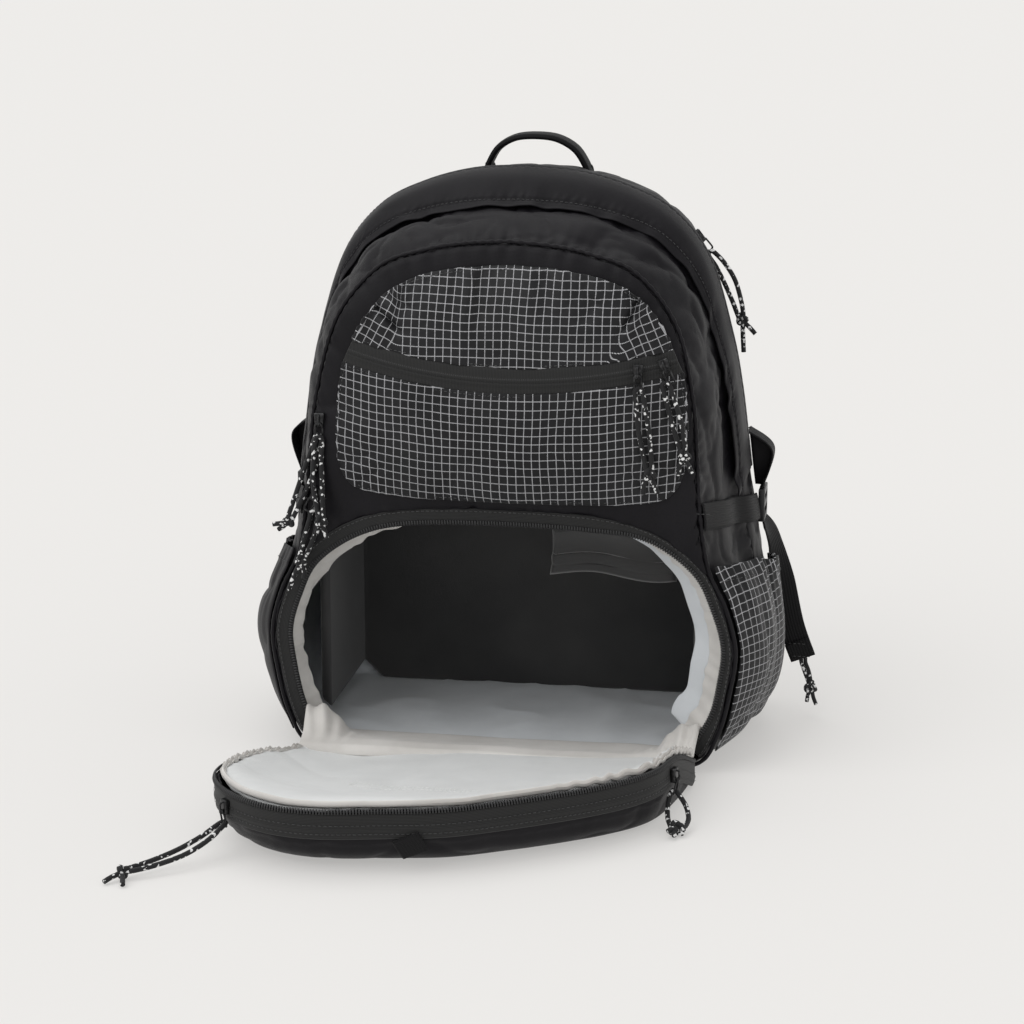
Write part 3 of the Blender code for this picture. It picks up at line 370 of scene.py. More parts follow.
def repeated(name, shape, faces, places, frames, material, nodes=()):
    """One small shape copied to many places. frames holds three axes for each place."""
    verts = np.einsum("ni,kij->knj", shape, frames) + places[:, None]
    count = len(shape)
    all_faces = [tuple(i + n * count for i in f) for n in range(len(places)) for f in faces]
    return finish_mesh(name, verts.reshape(-1, 3), all_faces, None, material, nodes)


def side_frames(path, normal, spacing):
    """Evenly spaced places on a path, each with its axes ahead, across and up."""
    places, goals, run = along(path, spacing)
    ahead_all = unit(np.gradient(np.asarray(path), axis=0))
    ahead = unit(np.stack([np.interp(goals, run, ahead_all[:, k]) for k in range(3)], -1))
    normal = np.broadcast_to(np.asarray(normal, float), np.asarray(path).shape)
    up = unit(np.stack([np.interp(goals, run, normal[:, k]) for k in range(3)], -1))
    across = unit(np.cross(ahead, up))
    up = np.cross(across, ahead)
    return places, np.stack([ahead, across, up], 1)


STITCH = np.array([(-1, 0, 0), (-0.6, -1, 0), (-0.6, 0, 1), (-0.6, 1, 0), (0.6, -1, 0), (0.6, 0, 1), (0.6, 1, 0),
                   (1, 0, 0)], float)
STITCH_FACES = [(0, 2, 1), (0, 3, 2), (0, 1, 3), (1, 2, 5, 4), (2, 3, 6, 5), (3, 1, 4, 6), (4, 5, 7), (5, 6, 7),
                (6, 4, 7)]


def stitches(name, path, normal, material, thread=0.00028):
    """A row of sewn thread that lies on the cloth."""
    places, frames = side_frames(path, normal, STITCH_LENGTH + STITCH_GAP)
    shape = STITCH * np.array([STITCH_LENGTH / 2, thread, thread])
    places = places + frames[:, 2] * STITCH_LIFT
    return repeated(name, shape, STITCH_FACES, places, frames, material)


# Outline of a coil's loop: shares of its width and height
TOOTH = ((-0.5, 0.15), (-0.42, 0.75), (0.0, 1.0), (0.42, 0.75), (0.5, 0.15), (0.0, 0.0))


def tooth_shape(width, height, pitch):
    """Rounded loop of a zip coil, lying across the tape."""
    ring = [(y * width, z * height) for y, z in TOOTH]
    half = pitch * 0.31
    verts = [(x, y * wide, z * high) for x, wide, high in ((-half, 1, 1), (0, 1.08, 1.12), (half, 1, 1))
             for y, z in ring]
    faces = []
    for layer in (0, 6):
        for j in range(6):
            k = (j + 1) % 6
            faces.append((layer + j, layer + k, layer + k + 6, layer + j + 6))
    faces += [tuple(range(5, -1, -1)), tuple(range(12, 18))]
    return np.array(verts, float), faces


def zip_teeth(name, path, normal, width, height, pitch, material, nodes=()):
    """Row of coil loops along a path."""
    places, frames = side_frames(path, normal, pitch)
    shape, faces = tooth_shape(width, height, pitch)
    return repeated(name, shape, faces, places, frames, material, nodes)


def copied(node, material, width, segments):
    """A piece of the frame with its edges rounded over."""
    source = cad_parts[node]
    mesh = source.data.copy()
    mesh.transform(source.matrix_world)
    piece = placed(node, mesh)
    builder = bmesh.new()
    builder.from_mesh(mesh)
    bmesh.ops.remove_doubles(builder, verts=builder.verts, dist=1e-5)
    bmesh.ops.dissolve_limit(builder, angle_limit=0.03, verts=builder.verts, edges=builder.edges)
    builder.to_mesh(mesh)
    builder.free()
    change = piece.modifiers.new("edges", "BEVEL")
    change.width, change.segments, change.limit_method = width, segments, "ANGLE"
    bpy.context.view_layer.objects.active = piece
    piece.select_set(True)
    bpy.ops.object.modifier_apply(modifier=change.name)
    mesh.shade_smooth()
    bpy.ops.object.shade_smooth_by_angle(angle=math.radians(40))
    piece.select_set(False)
    dress(piece, material, (node,))


# Finishes

class Finish:
    """Small helper that builds a procedural material."""

    def __init__(self, name, colour, rough, metallic=0.0, sheen=0.0, sheen_rough=0.5, specular=0.5):
        self.material = bpy.data.materials.new(name)
        self.material.use_nodes = True
        self.tree = self.material.node_tree
        self.shader = self.tree.nodes["Principled BSDF"]
        self.shader.inputs["Base Color"].default_value = (*colour, 1)
        self.shader.inputs["Roughness"].default_value = rough
        self.shader.inputs["Metallic"].default_value = metallic
        self.shader.inputs["Specular IOR Level"].default_value = specular
        if sheen:
            self.shader.inputs["Sheen Weight"].default_value = sheen
            self.shader.inputs["Sheen Roughness"].default_value = sheen_rough
        self.coords = self.add("ShaderNodeTexCoord")
        self.height = None

    def add(self, kind, **values):
        node = self.tree.nodes.new(kind)
        for key, value in values.items():
            setattr(node, key, value)
        return node

    def link(self, a, b):
        self.tree.links.new(a, b)

    def math(self, operation, a, b=None):
        node = self.add("ShaderNodeMath", operation=operation)
        for socket, value in zip(node.inputs, (a, b)):
            if value is None:
                continue
            if isinstance(value, (int, float)):
                socket.default_value = value
            else:
                self.link(value, socket)
        return node.outputs[0]

    def where(self, use_uv=False):
        return self.coords.outputs["UV" if use_uv else "Object"]

    def noise(self, scale, detail=3.0, rough=0.55, use_uv=False):
        node = self.add("ShaderNodeTexNoise")
        node.inputs["Scale"].default_value = scale
        node.inputs["Detail"].default_value = detail
        node.inputs["Roughness"].default_value = rough
        self.link(self.where(use_uv), node.inputs["Vector"])
        return node.outputs["Fac"]

    def axes(self, use_uv=False):
        node = self.add("ShaderNodeSeparateXYZ")
        self.link(self.where(use_uv), node.inputs[0])
        return node.outputs

    def half_sine(self, value, pitch):
        """Rises and falls once in each pitch, from 0 to 1."""
        turned = self.math("MULTIPLY", value, 2 * math.pi / pitch)
        return self.math("ADD", self.math("MULTIPLY", self.math("SINE", turned), 0.5), 0.5)

    def mix(self, share, colour_a, colour_b):
        node = self.add("ShaderNodeMix", data_type="RGBA")
        self.link(share, node.inputs["Factor"])
        for socket, colour in ((node.inputs[6], colour_a), (node.inputs[7], colour_b)):
            if isinstance(colour, tuple):
                socket.default_value = (*colour, 1)
            else:
                self.link(colour, socket)
        return node.outputs[2]

    def ramp(self, value, low, high):
        node = self.add("ShaderNodeMapRange", interpolation_type="SMOOTHSTEP")
        node.inputs["From Min"].default_value = low
        node.inputs["From Max"].default_value = high
        self.link(value, node.inputs["Value"])
        return node.outputs[0]

    def colour(self, output):
        self.link(output, self.shader.inputs["Base Color"])

    def bump(self, height, distance, strength=1.0):
        node = self.add("ShaderNodeBump")
        node.inputs["Distance"].default_value = distance
        node.inputs["Strength"].default_value = strength
        self.link(height, node.inputs["Height"])
        if self.height is not None:
            self.link(self.height, node.inputs["Normal"])
        self.height = node.outputs[0]
        self.link(self.height, self.shader.inputs["Normal"])


def plain_weave(finish, pitch, use_uv=True):
    """Over and under threads of a plain weave as a height from 0 to 1."""
    x, y, _ = finish.axes(use_uv)
    a = finish.half_sine(x, pitch)
    b = finish.half_sine(y, pitch)
    return finish.math("MULTIPLY", a, b)


def make_nylon():
    f = Finish("black nylon", (0.0078, 0.0072, 0.0088), 0.47, sheen=0.03, sheen_rough=0.35, specular=0.17)
    cloudy = f.noise(14, 4)
    fine = f.noise(900, 2)
    share = f.ramp(f.math("ADD", f.math("MULTIPLY", cloudy, 0.7), f.math("MULTIPLY", fine, 0.3)), 0.35, 0.7)
    f.colour(f.mix(share, (0.0048, 0.0042, 0.0057), (0.0095, 0.0086, 0.0108)))
    f.bump(plain_weave(f, THREAD_PITCH), 0.00012, 0.5)
    f.bump(f.noise(260, 4, 0.6), 0.0004, 0.35)
    return f.material


def make_grid_cloth():
    f = Finish("grid ripstop", (0.012, 0.012, 0.013), 0.50, sheen=0.06, sheen_rough=0.4, specular=0.22)
    x, y, _ = f.axes(True)
    lines = []
    for value in (x, y):
        cell = f.math("ABSOLUTE", f.math("SUBTRACT", f.math("FRACT", f.math("DIVIDE", value, GRID_PITCH)), 0.5))
        lines.append(f.ramp(cell, 0.434, 0.462))
    broken = f.ramp(f.half_sine(x, THREAD_PITCH), 0.1, 0.4)
    broken_y = f.ramp(f.half_sine(y, THREAD_PITCH), 0.1, 0.4)
    line = f.math("MAXIMUM", f.math("MULTIPLY", lines[0], broken_y), f.math("MULTIPLY", lines[1], broken))
    faded = f.math("MULTIPLY", line, f.ramp(f.noise(60, 3), 0.0, 0.42))
    base = f.mix(f.ramp(f.noise(20, 4), 0.35, 0.7), (0.0075, 0.0075, 0.0085), (0.0135, 0.0135, 0.0150))
    f.colour(f.mix(faded, base, (0.50, 0.50, 0.52)))
    f.bump(plain_weave(f, THREAD_PITCH), 0.0001, 0.5)
    f.bump(line, 0.00015, 0.6)
    return f.material


def make_webbing():
    f = Finish("ribbed webbing", (0.010, 0.010, 0.011), 0.6, sheen=0.05, sheen_rough=0.35, specular=0.15)
    x, y, _ = f.axes(True)
    ribs = f.half_sine(x, 0.0022)
    chevron = f.half_sine(f.math("ADD", y, f.math("MULTIPLY", ribs, 0.0006)), 0.0013)
    f.colour(f.mix(f.ramp(chevron, 0.2, 0.9), (0.0045, 0.0045, 0.0050), (0.0110, 0.0106, 0.0117)))
    f.bump(ribs, 0.0004, 0.7)
    f.bump(chevron, 0.0002, 0.7)
    return f.material


def make_tape():
    f = Finish("zip tape", (0.014, 0.014, 0.015), 0.7, sheen=0.10, specular=0.22)
    x, y, _ = f.axes(True)
    ribs = f.half_sine(y, 0.0011)
    f.colour(f.mix(ribs, (0.011, 0.011, 0.011), (0.028, 0.028, 0.028)))
    f.bump(ribs, 0.0002, 0.6)
    f.bump(f.half_sine(x, 0.0008), 0.0001, 0.4)
    return f.material


def make_lining(name, light, dark):
    f = Finish(name, light, 0.7, sheen=0.25, sheen_rough=0.5, specular=0.3)
    f.colour(f.mix(f.ramp(f.noise(25, 4), 0.3, 0.7), dark, light))
    f.bump(plain_weave(f, 0.0008), 0.0001, 0.5)
    f.bump(f.noise(120, 4, 0.6), 0.0006, 0.25)
    return f.material


def make_padding(name, dark, light, rough, sheen):
    f = Finish(name, dark, rough, sheen=sheen, sheen_rough=0.5, specular=0.25)
    f.colour(f.mix(f.ramp(f.noise(6, 3), 0.3, 0.7), dark, light))
    f.bump(f.noise(1500, 2), 0.0002, 0.5)
    return f.material


def make_braid():
    f = Finish("flecked braid", (0.012, 0.012, 0.012), 0.7, sheen=0.1, specular=0.3)
    cells = f.add("ShaderNodeTexVoronoi")
    cells.inputs["Scale"].default_value = 560
    f.link(f.where(), cells.inputs["Vector"])
    hue = f.add("ShaderNodeSeparateColor")
    f.link(cells.outputs["Color"], hue.inputs[0])
    fleck = f.math("GREATER_THAN", hue.outputs[0], 0.86)
    f.colour(f.mix(fleck, (0.011, 0.011, 0.012), (0.72, 0.72, 0.72)))
    f.bump(cells.outputs["Distance"], 0.0003, 0.6)
    return f.material


def make_plastic(name, colour, rough):
    f = Finish(name, colour, rough)
    f.bump(f.noise(1200, 2), 0.00006, 0.4)
    return f.material


def make_metal():
    f = Finish("black metal", (0.030, 0.030, 0.032), 0.32, metallic=0.85)
    f.colour(f.mix(f.ramp(f.noise(300, 3), 0.35, 0.75), (0.02, 0.02, 0.021), (0.07, 0.07, 0.072)))
    return f.material


def make_thread(name, colour):
    f = Finish(name, colour, 0.6, sheen=0.2)
    f.bump(f.half_sine(f.axes()[0], 0.0004), 0.00005, 0.4)
    return f.material


NYLON = make_nylon()
GRID = make_grid_cloth()
WEBBING = make_webbing()
TAPE = make_tape()
LINING = make_lining("grey lining", (0.66, 0.64, 0.615), (0.56, 0.54, 0.515))
DOOR_CLOTH = make_lining("door lining", (0.70, 0.71, 0.71), (0.65, 0.66, 0.66))
INNER_CLOTH = make_lining("bluish lining", (0.64, 0.665, 0.69), (0.58, 0.605, 0.63))
PADDING = make_padding("black padding", (0.014, 0.014, 0.015), (0.022, 0.022, 0.024), 0.85, 0.15)
# Insert cloth is black. Its random blotches are its own tone, but both colours are set well above the black padding as
# painted reflection of the shiny fabric's sheen.
INSERT_CLOTH_PAINTED_REFLECTION = make_padding("insert cloth", (0.022, 0.022, 0.023), (0.048, 0.047, 0.047), 0.55, 0.30)
BRAID = make_braid()
COIL = make_plastic("nylon coil", (0.013, 0.013, 0.014), 0.30)
PLASTIC = make_plastic("moulded plastic", (0.012, 0.012, 0.013), 0.38)
METAL = make_metal()
BLACK_THREAD = make_thread("black thread", (0.030, 0.030, 0.032))
GREY_THREAD = make_thread("grey thread", (0.78, 0.78, 0.77))


# Body of the bag

def soft(p, seed, swell, crease, scale):
    """Slack of thin nylon: soft swells and a few creases that only sink in."""
    return fuzz(p, scale, seed) * swell - creases(p, scale * 1.6, seed + 7) * crease


def around(rows, cols, first=0.0, last=2.0 * LAST):
    """Grid of stations and of places round the outline."""
    return np.meshgrid(rows, np.linspace(first, last, cols), indexing="ij")


def make_back_body():
    """Cloth from the back seam to the main zip."""
    u, t = around(np.linspace(0.0, ZIP_ROW - 0.02, 44), 361)
    p = skin(u, t)
    lift = soft(p, 3.0, 0.0009, 0.0020, 12) + soft(p, 8.0, 0.0, 0.0010, 26) - 0.0004
    lift += gathers(p, 1, 0.0006, 0.013, 0.016, 2.0) + gathers(p, 0, 0.0006, 0.016, 0.02, 4.0)
    cloth("body_back", off_skin(u, t, lift), 0.0024, NYLON, ["body_shell"], wrap=True, side=-1)


def calm_low(t):
    """Share of the puckers that is left beside the lower opening, where the cloth is pulled flat."""
    return 0.2 + 0.8 * ease((np.minimum(t, 2 * LAST - t) - 5.5) / 3)


def make_front_body():
    """Puffy gusset from the main zip to the front seam."""
    u, t = around(np.linspace(ZIP_ROW + 0.02, FRONT_ROW, 52), 421)
    p = skin(u, t)
    lift = soft(p, 11.0, 0.0010, 0.0022, 13) + soft(p, 5.0, 0.0, 0.0012, 28) - 0.0004
    lift += gathers(p, 1, 0.0018, 0.0105, 0.011, 6.0) * calm_low(t) + gathers(p, 0, 0.0010, 0.014, 0.014, 8.0)
    high = ease((t - 8) / 2) * ease((22 - t) / 2)
    puff = 0.0046 * np.sin(np.pi * np.clip((u - 3.3) / 2.7, 0, 1) ** 0.75) ** 1.2
    dents = creases(p, 19, 15.0) * 0.0030
    lift = np.minimum(lift, 0.0006) - 0.0012 * ease((u - 5.8) / 0.2) + high * (puff - dents)
    cloth("front_body", off_skin(u, t, lift), 0.0018, NYLON, ["front_gusset"], wrap=True, side=-1)


def make_front_seam():
    """Rolled seam between the front panel and the sides, puckered all the way round."""
    t = np.linspace(0.0, 2 * LAST, 1100)
    middle = skin(np.full_like(t, FRONT_ROW - 0.06), t)
    run = run_along(middle)
    wave = np.sin(run * 2 * np.pi / 0.0075 + 4 * wander(run, 30, 1, 0))
    out = skin_normal(np.full_like(t, FRONT_ROW - 0.06), t)
    middle = middle - out * 0.0006
    middle[:, 2] = np.maximum(middle[:, 2], 0.0022)
    calm = calm_low(t)
    joined("front_seam", [tube_mesh(middle, 0.0016 + 0.0003 * wave * calm, 10)], NYLON)


def flap_row(u, t):
    """The flap reaches further forward over the middle of the top."""
    return u + 0.24 * bell(t, 15, 2.2) * (u - FLAP_START) / FLAP_REACH


def make_storm_flap():
    """Flap over the main zip, free along its front edge."""
    u, t = around(np.linspace(FLAP_START, FLAP_START + FLAP_REACH, 34), 301, 7.5, 22.5)
    bare, u = u, flap_row(u, t)
    free = ease((bare - 2.8) / 1.0)
    lift = FLAP_LIFT + FLAP_RISE * free
    p = off_skin(u, t, lift)
    wave = gathers(p, 1, 0.0014, 0.034, 0.03, 1.0) + fuzz(p, 16, 5.0) * 0.0012 - creases(p, 13, 6.0) * 0.0012
    near = bell(bare, 3.45, 0.10) + bell(bare, 2.56, 0.10)
    pucker = np.sin(run_of(p, 1) * 2 * np.pi / 0.0068 + 6 * fuzz(p, 30, 2.0)) * 0.00035 * near
    dip = 0.0011 * (bell(bare, 3.52, 0.035) + bell(bare, 2.52, 0.04))
    p = off_skin(u, t, lift + wave * free - dip + pucker)
    cloth("storm_flap", p, 0.0014, NYLON, ["storm_flap"], side=-1)
    for row, place in (("free", 3.52), ("seam", 2.52)):
        line_t = np.linspace(7.6, 22.4, 500)
        line_u = np.full_like(line_t, place)
        open_share = ease((line_u - 2.8) / 1.0)
        line_u = flap_row(line_u, line_t)
        path = off_skin(line_u, line_t, FLAP_LIFT - 0.0001 + FLAP_RISE * open_share)
        stitches("flap_stitches_" + row, path, skin_normal(line_u, line_t), BLACK_THREAD)


def opening_line(count):
    """Seam of the lower opening, from the left corner over the arch to the right corner."""
    rises = [seam_inside(t) for t in (2.3, 2.7, 3.3, 4.0, 5.0, 6.0)]
    arch = [np.array((x * FRONT_WIDTH / 2, FRONT, z * 0.2)) for x, z in ((0.85, 0.80), (0.66, 0.925), (0.42, 0.985))]
    right = rises + arch
    left = [p * np.array((-1, 1, 1)) for p in right]
    line = smooth_path(left + [np.array((0, FRONT, 0.2))] + right[::-1], count)
    line[:, 1] = FRONT
    return line


def seam_inside(t):
    """Points of the front seam, a little inside it."""
    point = skin(FRONT_ROW, t)
    way = unit(skin(FRONT_ROW, t + 0.05) - skin(FRONT_ROW, t - 0.05))
    return point + np.stack([-way[..., 2], 0 * way[..., 0], way[..., 0]], -1) * 0.0032


def inward(line, distance):
    """Line moved towards the inside of the opening, and less so on its right side, where the tape is narrow."""
    way = unit(np.gradient(line, axis=0))
    run = np.linspace(0, 1, len(line))
    kept = 1 - 0.45 * ease((run - 0.60) / 0.10) * (1 - ease((run - 0.93) / 0.07))
    return line + np.stack([way[:, 2], 0 * way[:, 0], -way[:, 0]], -1) * (np.asarray(distance) * kept)[..., None]


def front_y(x, z):
    """Depth of the front panel, which swells in its middle."""
    middle, half = 0.299, 0.099
    across = np.maximum(1 - (x / (FRONT_WIDTH * 0.43)) ** 2, 0)
    upward = np.maximum(1 - ((z - middle) / half) ** 2, 0)
    return lean_y(1.0, 0.86, z) - 0.008 * across * upward


def between(low, high, shares):
    """Grid of points from one line to another."""
    shares = np.asarray(shares)[:, None, None]
    return low[None] * (1 - shares) + high[None] * shares


def make_front_panel():
    """Panel between the opening's arch and the front seam."""
    arch = opening_line(501)
    arch = smooth_path(arch[arch[:, 2] > 0.152], 261)
    seam = seam_inside(np.linspace(23.25, 6.75, 261))
    p = between(arch, smooth_path(seam[::5], 261), np.linspace(0, 1, 46))
    flat = np.stack([p[..., 0], p[..., 2]], -1)
    base = front_y(p[..., 0], p[..., 2])
    puffed = np.stack([p[..., 0], base, p[..., 2]], -1)
    lift = gathers(puffed, 1, 0.0013, 0.0150, 0.007, 3.0) + gathers(puffed, 0, 0.0008, 0.017, 0.012, 9.0)
    lift += fuzz(puffed, 14, 4.0) * 0.0014
    run = np.minimum(run_of(puffed, 0), run_of(puffed, 0)[-1:] - run_of(puffed, 0))
    puff = 0.0022 * (1 - np.exp(-run / 0.009)) - 0.0020 * creases(puffed, 17, 2.0)
    puffed[..., 1] -= np.minimum(lift + puff, 0.0030) - 0.0010
    cloth("front_panel", puffed, 0.0018, NYLON, ["front_panel"], uv=flat, side=1)
    for label, side in SIDES:
        x = side * np.linspace(0.128, 0.157, 60)
        z = np.full(60, 0.203)
        stitches("panel_stitches_" + label, np.stack([x, front_y(x, z) - 0.0012, z], -1), (0, -1, 0), BLACK_THREAD)


# Front pocket

POCKET = np.array(((0.00, 0.000), (0.50, 0.005), (0.83, 0.030), (0.95, 0.090), (0.995, 0.20), (1.00, 0.35),
                   (0.97, 0.55), (0.90, 0.70), (0.75, 0.86), (0.55, 0.945), (0.30, 0.985), (0.00, 1.000)))
POCKET_WIDTH, POCKET_HEIGHT, POCKET_BASE, POCKET_SHIFT = 0.264, 0.174, 0.207, 0.007
POCKET_MIDDLE = POCKET_BASE + POCKET_HEIGHT / 2
# Darts that turn the grid at the upper corners: tip, turn in radians and slope
POCKET_DARTS = (((-0.083, 0.331), 0.45, 0.0), ((0.082, 0.334), -0.42, 0.5))


def pocket_zip_z(x):
    """Height of the pocket's zip, which dips in its middle."""
    return 0.300 + 0.018 * (2 * x / POCKET_WIDTH) ** 2


def pocket_puff(x, z):
    """How far the full pocket stands off the front panel."""
    across = np.maximum(1 - (2 * x / POCKET_WIDTH) ** 2, 0)
    upward = np.maximum(1 - (2 * (z - POCKET_BASE - POCKET_HEIGHT / 2) / POCKET_HEIGHT) ** 2, 0)
    return 0.0006 + 0.012 * np.sqrt(across * upward)


def on_pocket(x, z, lift=0.0):
    """Points on the pocket's cloth."""
    x, z = np.broadcast_arrays(np.asarray(x, float), np.asarray(z, float))
    y = front_y(x + POCKET_SHIFT, z) - pocket_puff(x, z) - 0.0015 - lift
    return np.stack([x + POCKET_SHIFT, y, z], -1)


def pocket_half(count):
    """Right half of the pocket's outline."""
    half = curve_at(POCKET, np.linspace(0, len(POCKET) - 1, count))
    return np.stack([half[:, 0] * POCKET_WIDTH / 2, half[:, 1] * POCKET_HEIGHT + POCKET_BASE], -1)


def fold(x, z, start, end, width, depth):
    """One soft dent along a line on the pocket."""
    start, end = np.array(start), np.array(end)
    way = end - start
    length = np.linalg.norm(way)
    way = way / length
    a = (x - start[0]) * way[0] + (z - start[1]) * way[1]
    d = (x - start[0]) * -way[1] + (z - start[1]) * way[0]
    inside = ease(a / (0.2 * length)) * ease((length - a) / (0.35 * length))
    return -depth * bell(d, 0, width) * inside


# Dents of the pocket cloth: x, z, x, z, width and depth in metres
POCKET_FOLDS = (
    (-0.106, 0.352, -0.080, 0.328, 0.0030, 0.0050), (0.100, 0.371, 0.078, 0.330, 0.0026, 0.0055),
    (-0.098, 0.361, -0.070, 0.345, 0.0040, 0.0026), (0.064, 0.362, 0.050, 0.338, 0.0060, 0.0026),
    (-0.030, 0.378, -0.020, 0.335, 0.0060, 0.0024), (0.020, 0.378, 0.026, 0.340, 0.0060, 0.0022),
    (-0.128, 0.232, -0.095, 0.244, 0.004, 0.0020), (-0.118, 0.216, -0.088, 0.236, 0.003, 0.0016),
    (0.128, 0.232, 0.096, 0.246, 0.004, 0.0022), (0.110, 0.214, 0.086, 0.240, 0.003, 0.0016),
    (-0.05, 0.209, -0.045, 0.232, 0.003, 0.0010), (0.03, 0.208, 0.036, 0.228, 0.004, 0.0010),
    (-0.130, 0.275, -0.09, 0.262, 0.005, 0.0012), (0.130, 0.280, 0.098, 0.262, 0.005, 0.0014),
)


def pocket_sheet(name, low, high, rows, node):
    """Gridded cloth above or below the pocket's zip."""
    p = between(low, high, np.linspace(0, 1, rows))
    x, z = p[..., 0], p[..., 2]
    surface = on_pocket(x, z)
    lift = fuzz(surface, 17, 4.0) * 0.0014 - creases(surface, 20, 9.0) * 0.0010
    edge = 0 if name == "pocket_lower" else 1
    lift += gathers(surface, edge, 0.0009, 0.010, 0.010, 5.0)
    if edge:
        lift += gathers(surface, 1, 0.0024, 0.046, 0.05, 2.0)
    for row in POCKET_FOLDS:
        lift += fold(x, z, row[:2], row[2:4], row[4], row[5])
    room = pocket_puff(x, z)
    lift = np.clip(lift, -room * 0.8, 0.0024)
    surface[..., 1] -= lift
    across, up = x + 0.0012 * fuzz(surface, 26, 1.0), z + 0.0012 * fuzz(surface, 26, 7.0)
    if name == "pocket_lower":
        up = up - pocket_zip_z(x) * 0.6
    else:
        for tip, turn, slope in POCKET_DARTS:
            away = (x - tip[0] - slope * (z - tip[1])) * np.sign(tip[0])
            angle = turn * ease((away + 0.002) / 0.012)
            a, b = across - tip[0], up - tip[1]
            across = tip[0] + a * np.cos(angle) - b * np.sin(angle)
            up = tip[1] + a * np.sin(angle) + b * np.cos(angle)
    uv = np.stack([across, up], -1)
    cloth(name, surface, CLOTH_WALL, GRID, [node], uv=uv, side=1)


def make_pocket():
    """Front pocket in two parts, with the curved zip between them."""
    half = pocket_half(160)
    band = 0.0095
    low = half[half[:, 1] < pocket_zip_z(half[:, 0]) - band - 0.001]
    high = half[half[:, 1] > pocket_zip_z(half[:, 0]) + band + 0.001]

    def whole(side, forward):
        mirror = side[::-1] * np.array((-1, 1))
        line = np.concatenate([mirror, side[1:]] if forward else [side * np.array((-1, 1)), side[::-1][1:]])
        return np.stack([line[:, 0], 0 * line[:, 0], line[:, 1]], -1)
    bottom = smooth_path(whole(low, True)[::3], 221)
    top = smooth_path(whole(high, False)[::3], 221)
    reach, narrow = low[-1, 0], high[0, 0]

    def zip_line(offset, wide):
        x = wide * np.sin(np.linspace(-np.pi / 2, np.pi / 2, 221))
        return np.stack([x, 0 * x, pocket_zip_z(x) + offset], -1)
    pocket_sheet("pocket_lower", bottom, zip_line(-band, reach), 64, "pocket_lower")
    pocket_sheet("pocket_upper", zip_line(band, narrow), top, 50, "pocket_upper")
    p = between(zip_line(-band + 0.0002, reach * 0.998), zip_line(band - 0.0002, narrow * 0.998), np.linspace(0, 1, 21))
    x, z = p[..., 0], p[..., 2]
    across = (z - pocket_zip_z(x)) / band
    hump = 0.0011 * bell(np.abs(across + 0.12), 0.16, 0.10) - 0.0009 * bell(np.abs(across), 0.97, 0.1)
    surface = on_pocket(x, z, hump - 0.0004)
    cloth("pocket_zip", surface, CLOTH_WALL, TAPE, ["pocket_zip"],
          uv=np.stack([z, x], -1), side=1)
    x = np.linspace(-reach * 0.97, reach * 0.97, 400)
    teeth = on_pocket(x, pocket_zip_z(x), 0.0004)
    zip_teeth("pocket_zip_teeth", teeth, (0, -1, 0), 0.0042, 0.0011, 0.0016, COIL)
    for label, offset, wide in (("lower", -band - 0.0016, reach), ("upper", band + 0.0016, narrow)):
        x = np.linspace(-wide * 0.97, wide * 0.97, 300)
        stitches("pocket_stitches_" + label, on_pocket(x, pocket_zip_z(x) + offset, 0.0006), (0, -1, 0), BLACK_THREAD)
    outline = np.concatenate([half, (half * np.array((-1, 1)))[::-1]])
    x, z = outline[:, 0], outline[:, 1]
    line = smooth_path(np.stack([x * 0.988, 0 * x, POCKET_MIDDLE + (z - POCKET_MIDDLE) * 0.982], -1)[::4], 500)
    stitches("pocket_edge_stitches", on_pocket(line[:, 0], line[:, 2], 0.0006), (0, -1, 0), BLACK_THREAD)


# Lower opening

# Lining band seen inside the opening: places from lower left to lower right, and its width there
BAND_PLACES = (0.0, 0.10, 0.20, 0.30, 0.36, 0.44, 0.56, 0.64, 0.70, 0.80, 0.90, 1.0)
BAND_WIDTHS = (0.009, 0.006, 0.006, 0.012, 0.009, 0.0015, 0.001, 0.003, 0.020, 0.022, 0.026, 0.013)


def make_opening():
    """Zip tape, coil and lining band round the lower opening."""
    line = opening_line(401)
    widths = np.linspace(0.0006, 0.0126, 12)
    p = np.stack([inward(line, np.full(len(line), w)) for w in widths])
    wave = gathers(p, 0, 0.0004, 0.02, 0.01, 1.0)
    p[..., 1] += 0.0001 - wave
    p[..., 1] -= 0.0006 * bell(widths[:, None], 0.002, 0.0015)
    cloth("opening_tape", p, CLOTH_WALL, TAPE, ["opening_tape"], side=1)
    teeth = inward(line, np.full(len(line), 0.0112))
    teeth[:, 1] += 0.0008
    zip_teeth("opening_teeth", teeth, (0, -1, 0), 0.0040, 0.0017, 0.0021, COIL, ["opening_coil"])
    shares = np.linspace(0, 1, 26)
    run = np.linspace(0, 1, len(line))
    wide = np.interp(run, BAND_PLACES, BAND_WIDTHS) + 0.0016 * wander(run, 14, 3, 1)
    rows = []
    for share in shares:
        q = inward(line, 0.0100 + wide * share)
        q[:, 1] += 0.0032 + 0.0175 * share
        rows.append(q)
    p = np.stack(rows)
    low = ease((0.06 - p[..., 2]) / 0.05)
    ruffle = gathers(p, 0, 0.0010, 0.012, 0.03, 3.0) + gathers(p, 1, 0.0026, 0.016, 0.012, 7.0) * (0.25 + low)
    normal = grid_normals(p)
    p = p + normal * (ruffle + fuzz(p, 55, 3.0) * 0.0014)[..., None]
    cloth("opening_lining", p, LINING_WALL, LINING, ["opening_lining"], side=1)
    edge = inward(line, np.full(len(line), 0.0022))
    edge[:, 1] -= 0.0006
    stitches("opening_stitches", edge, (0, -1, 0), BLACK_THREAD)


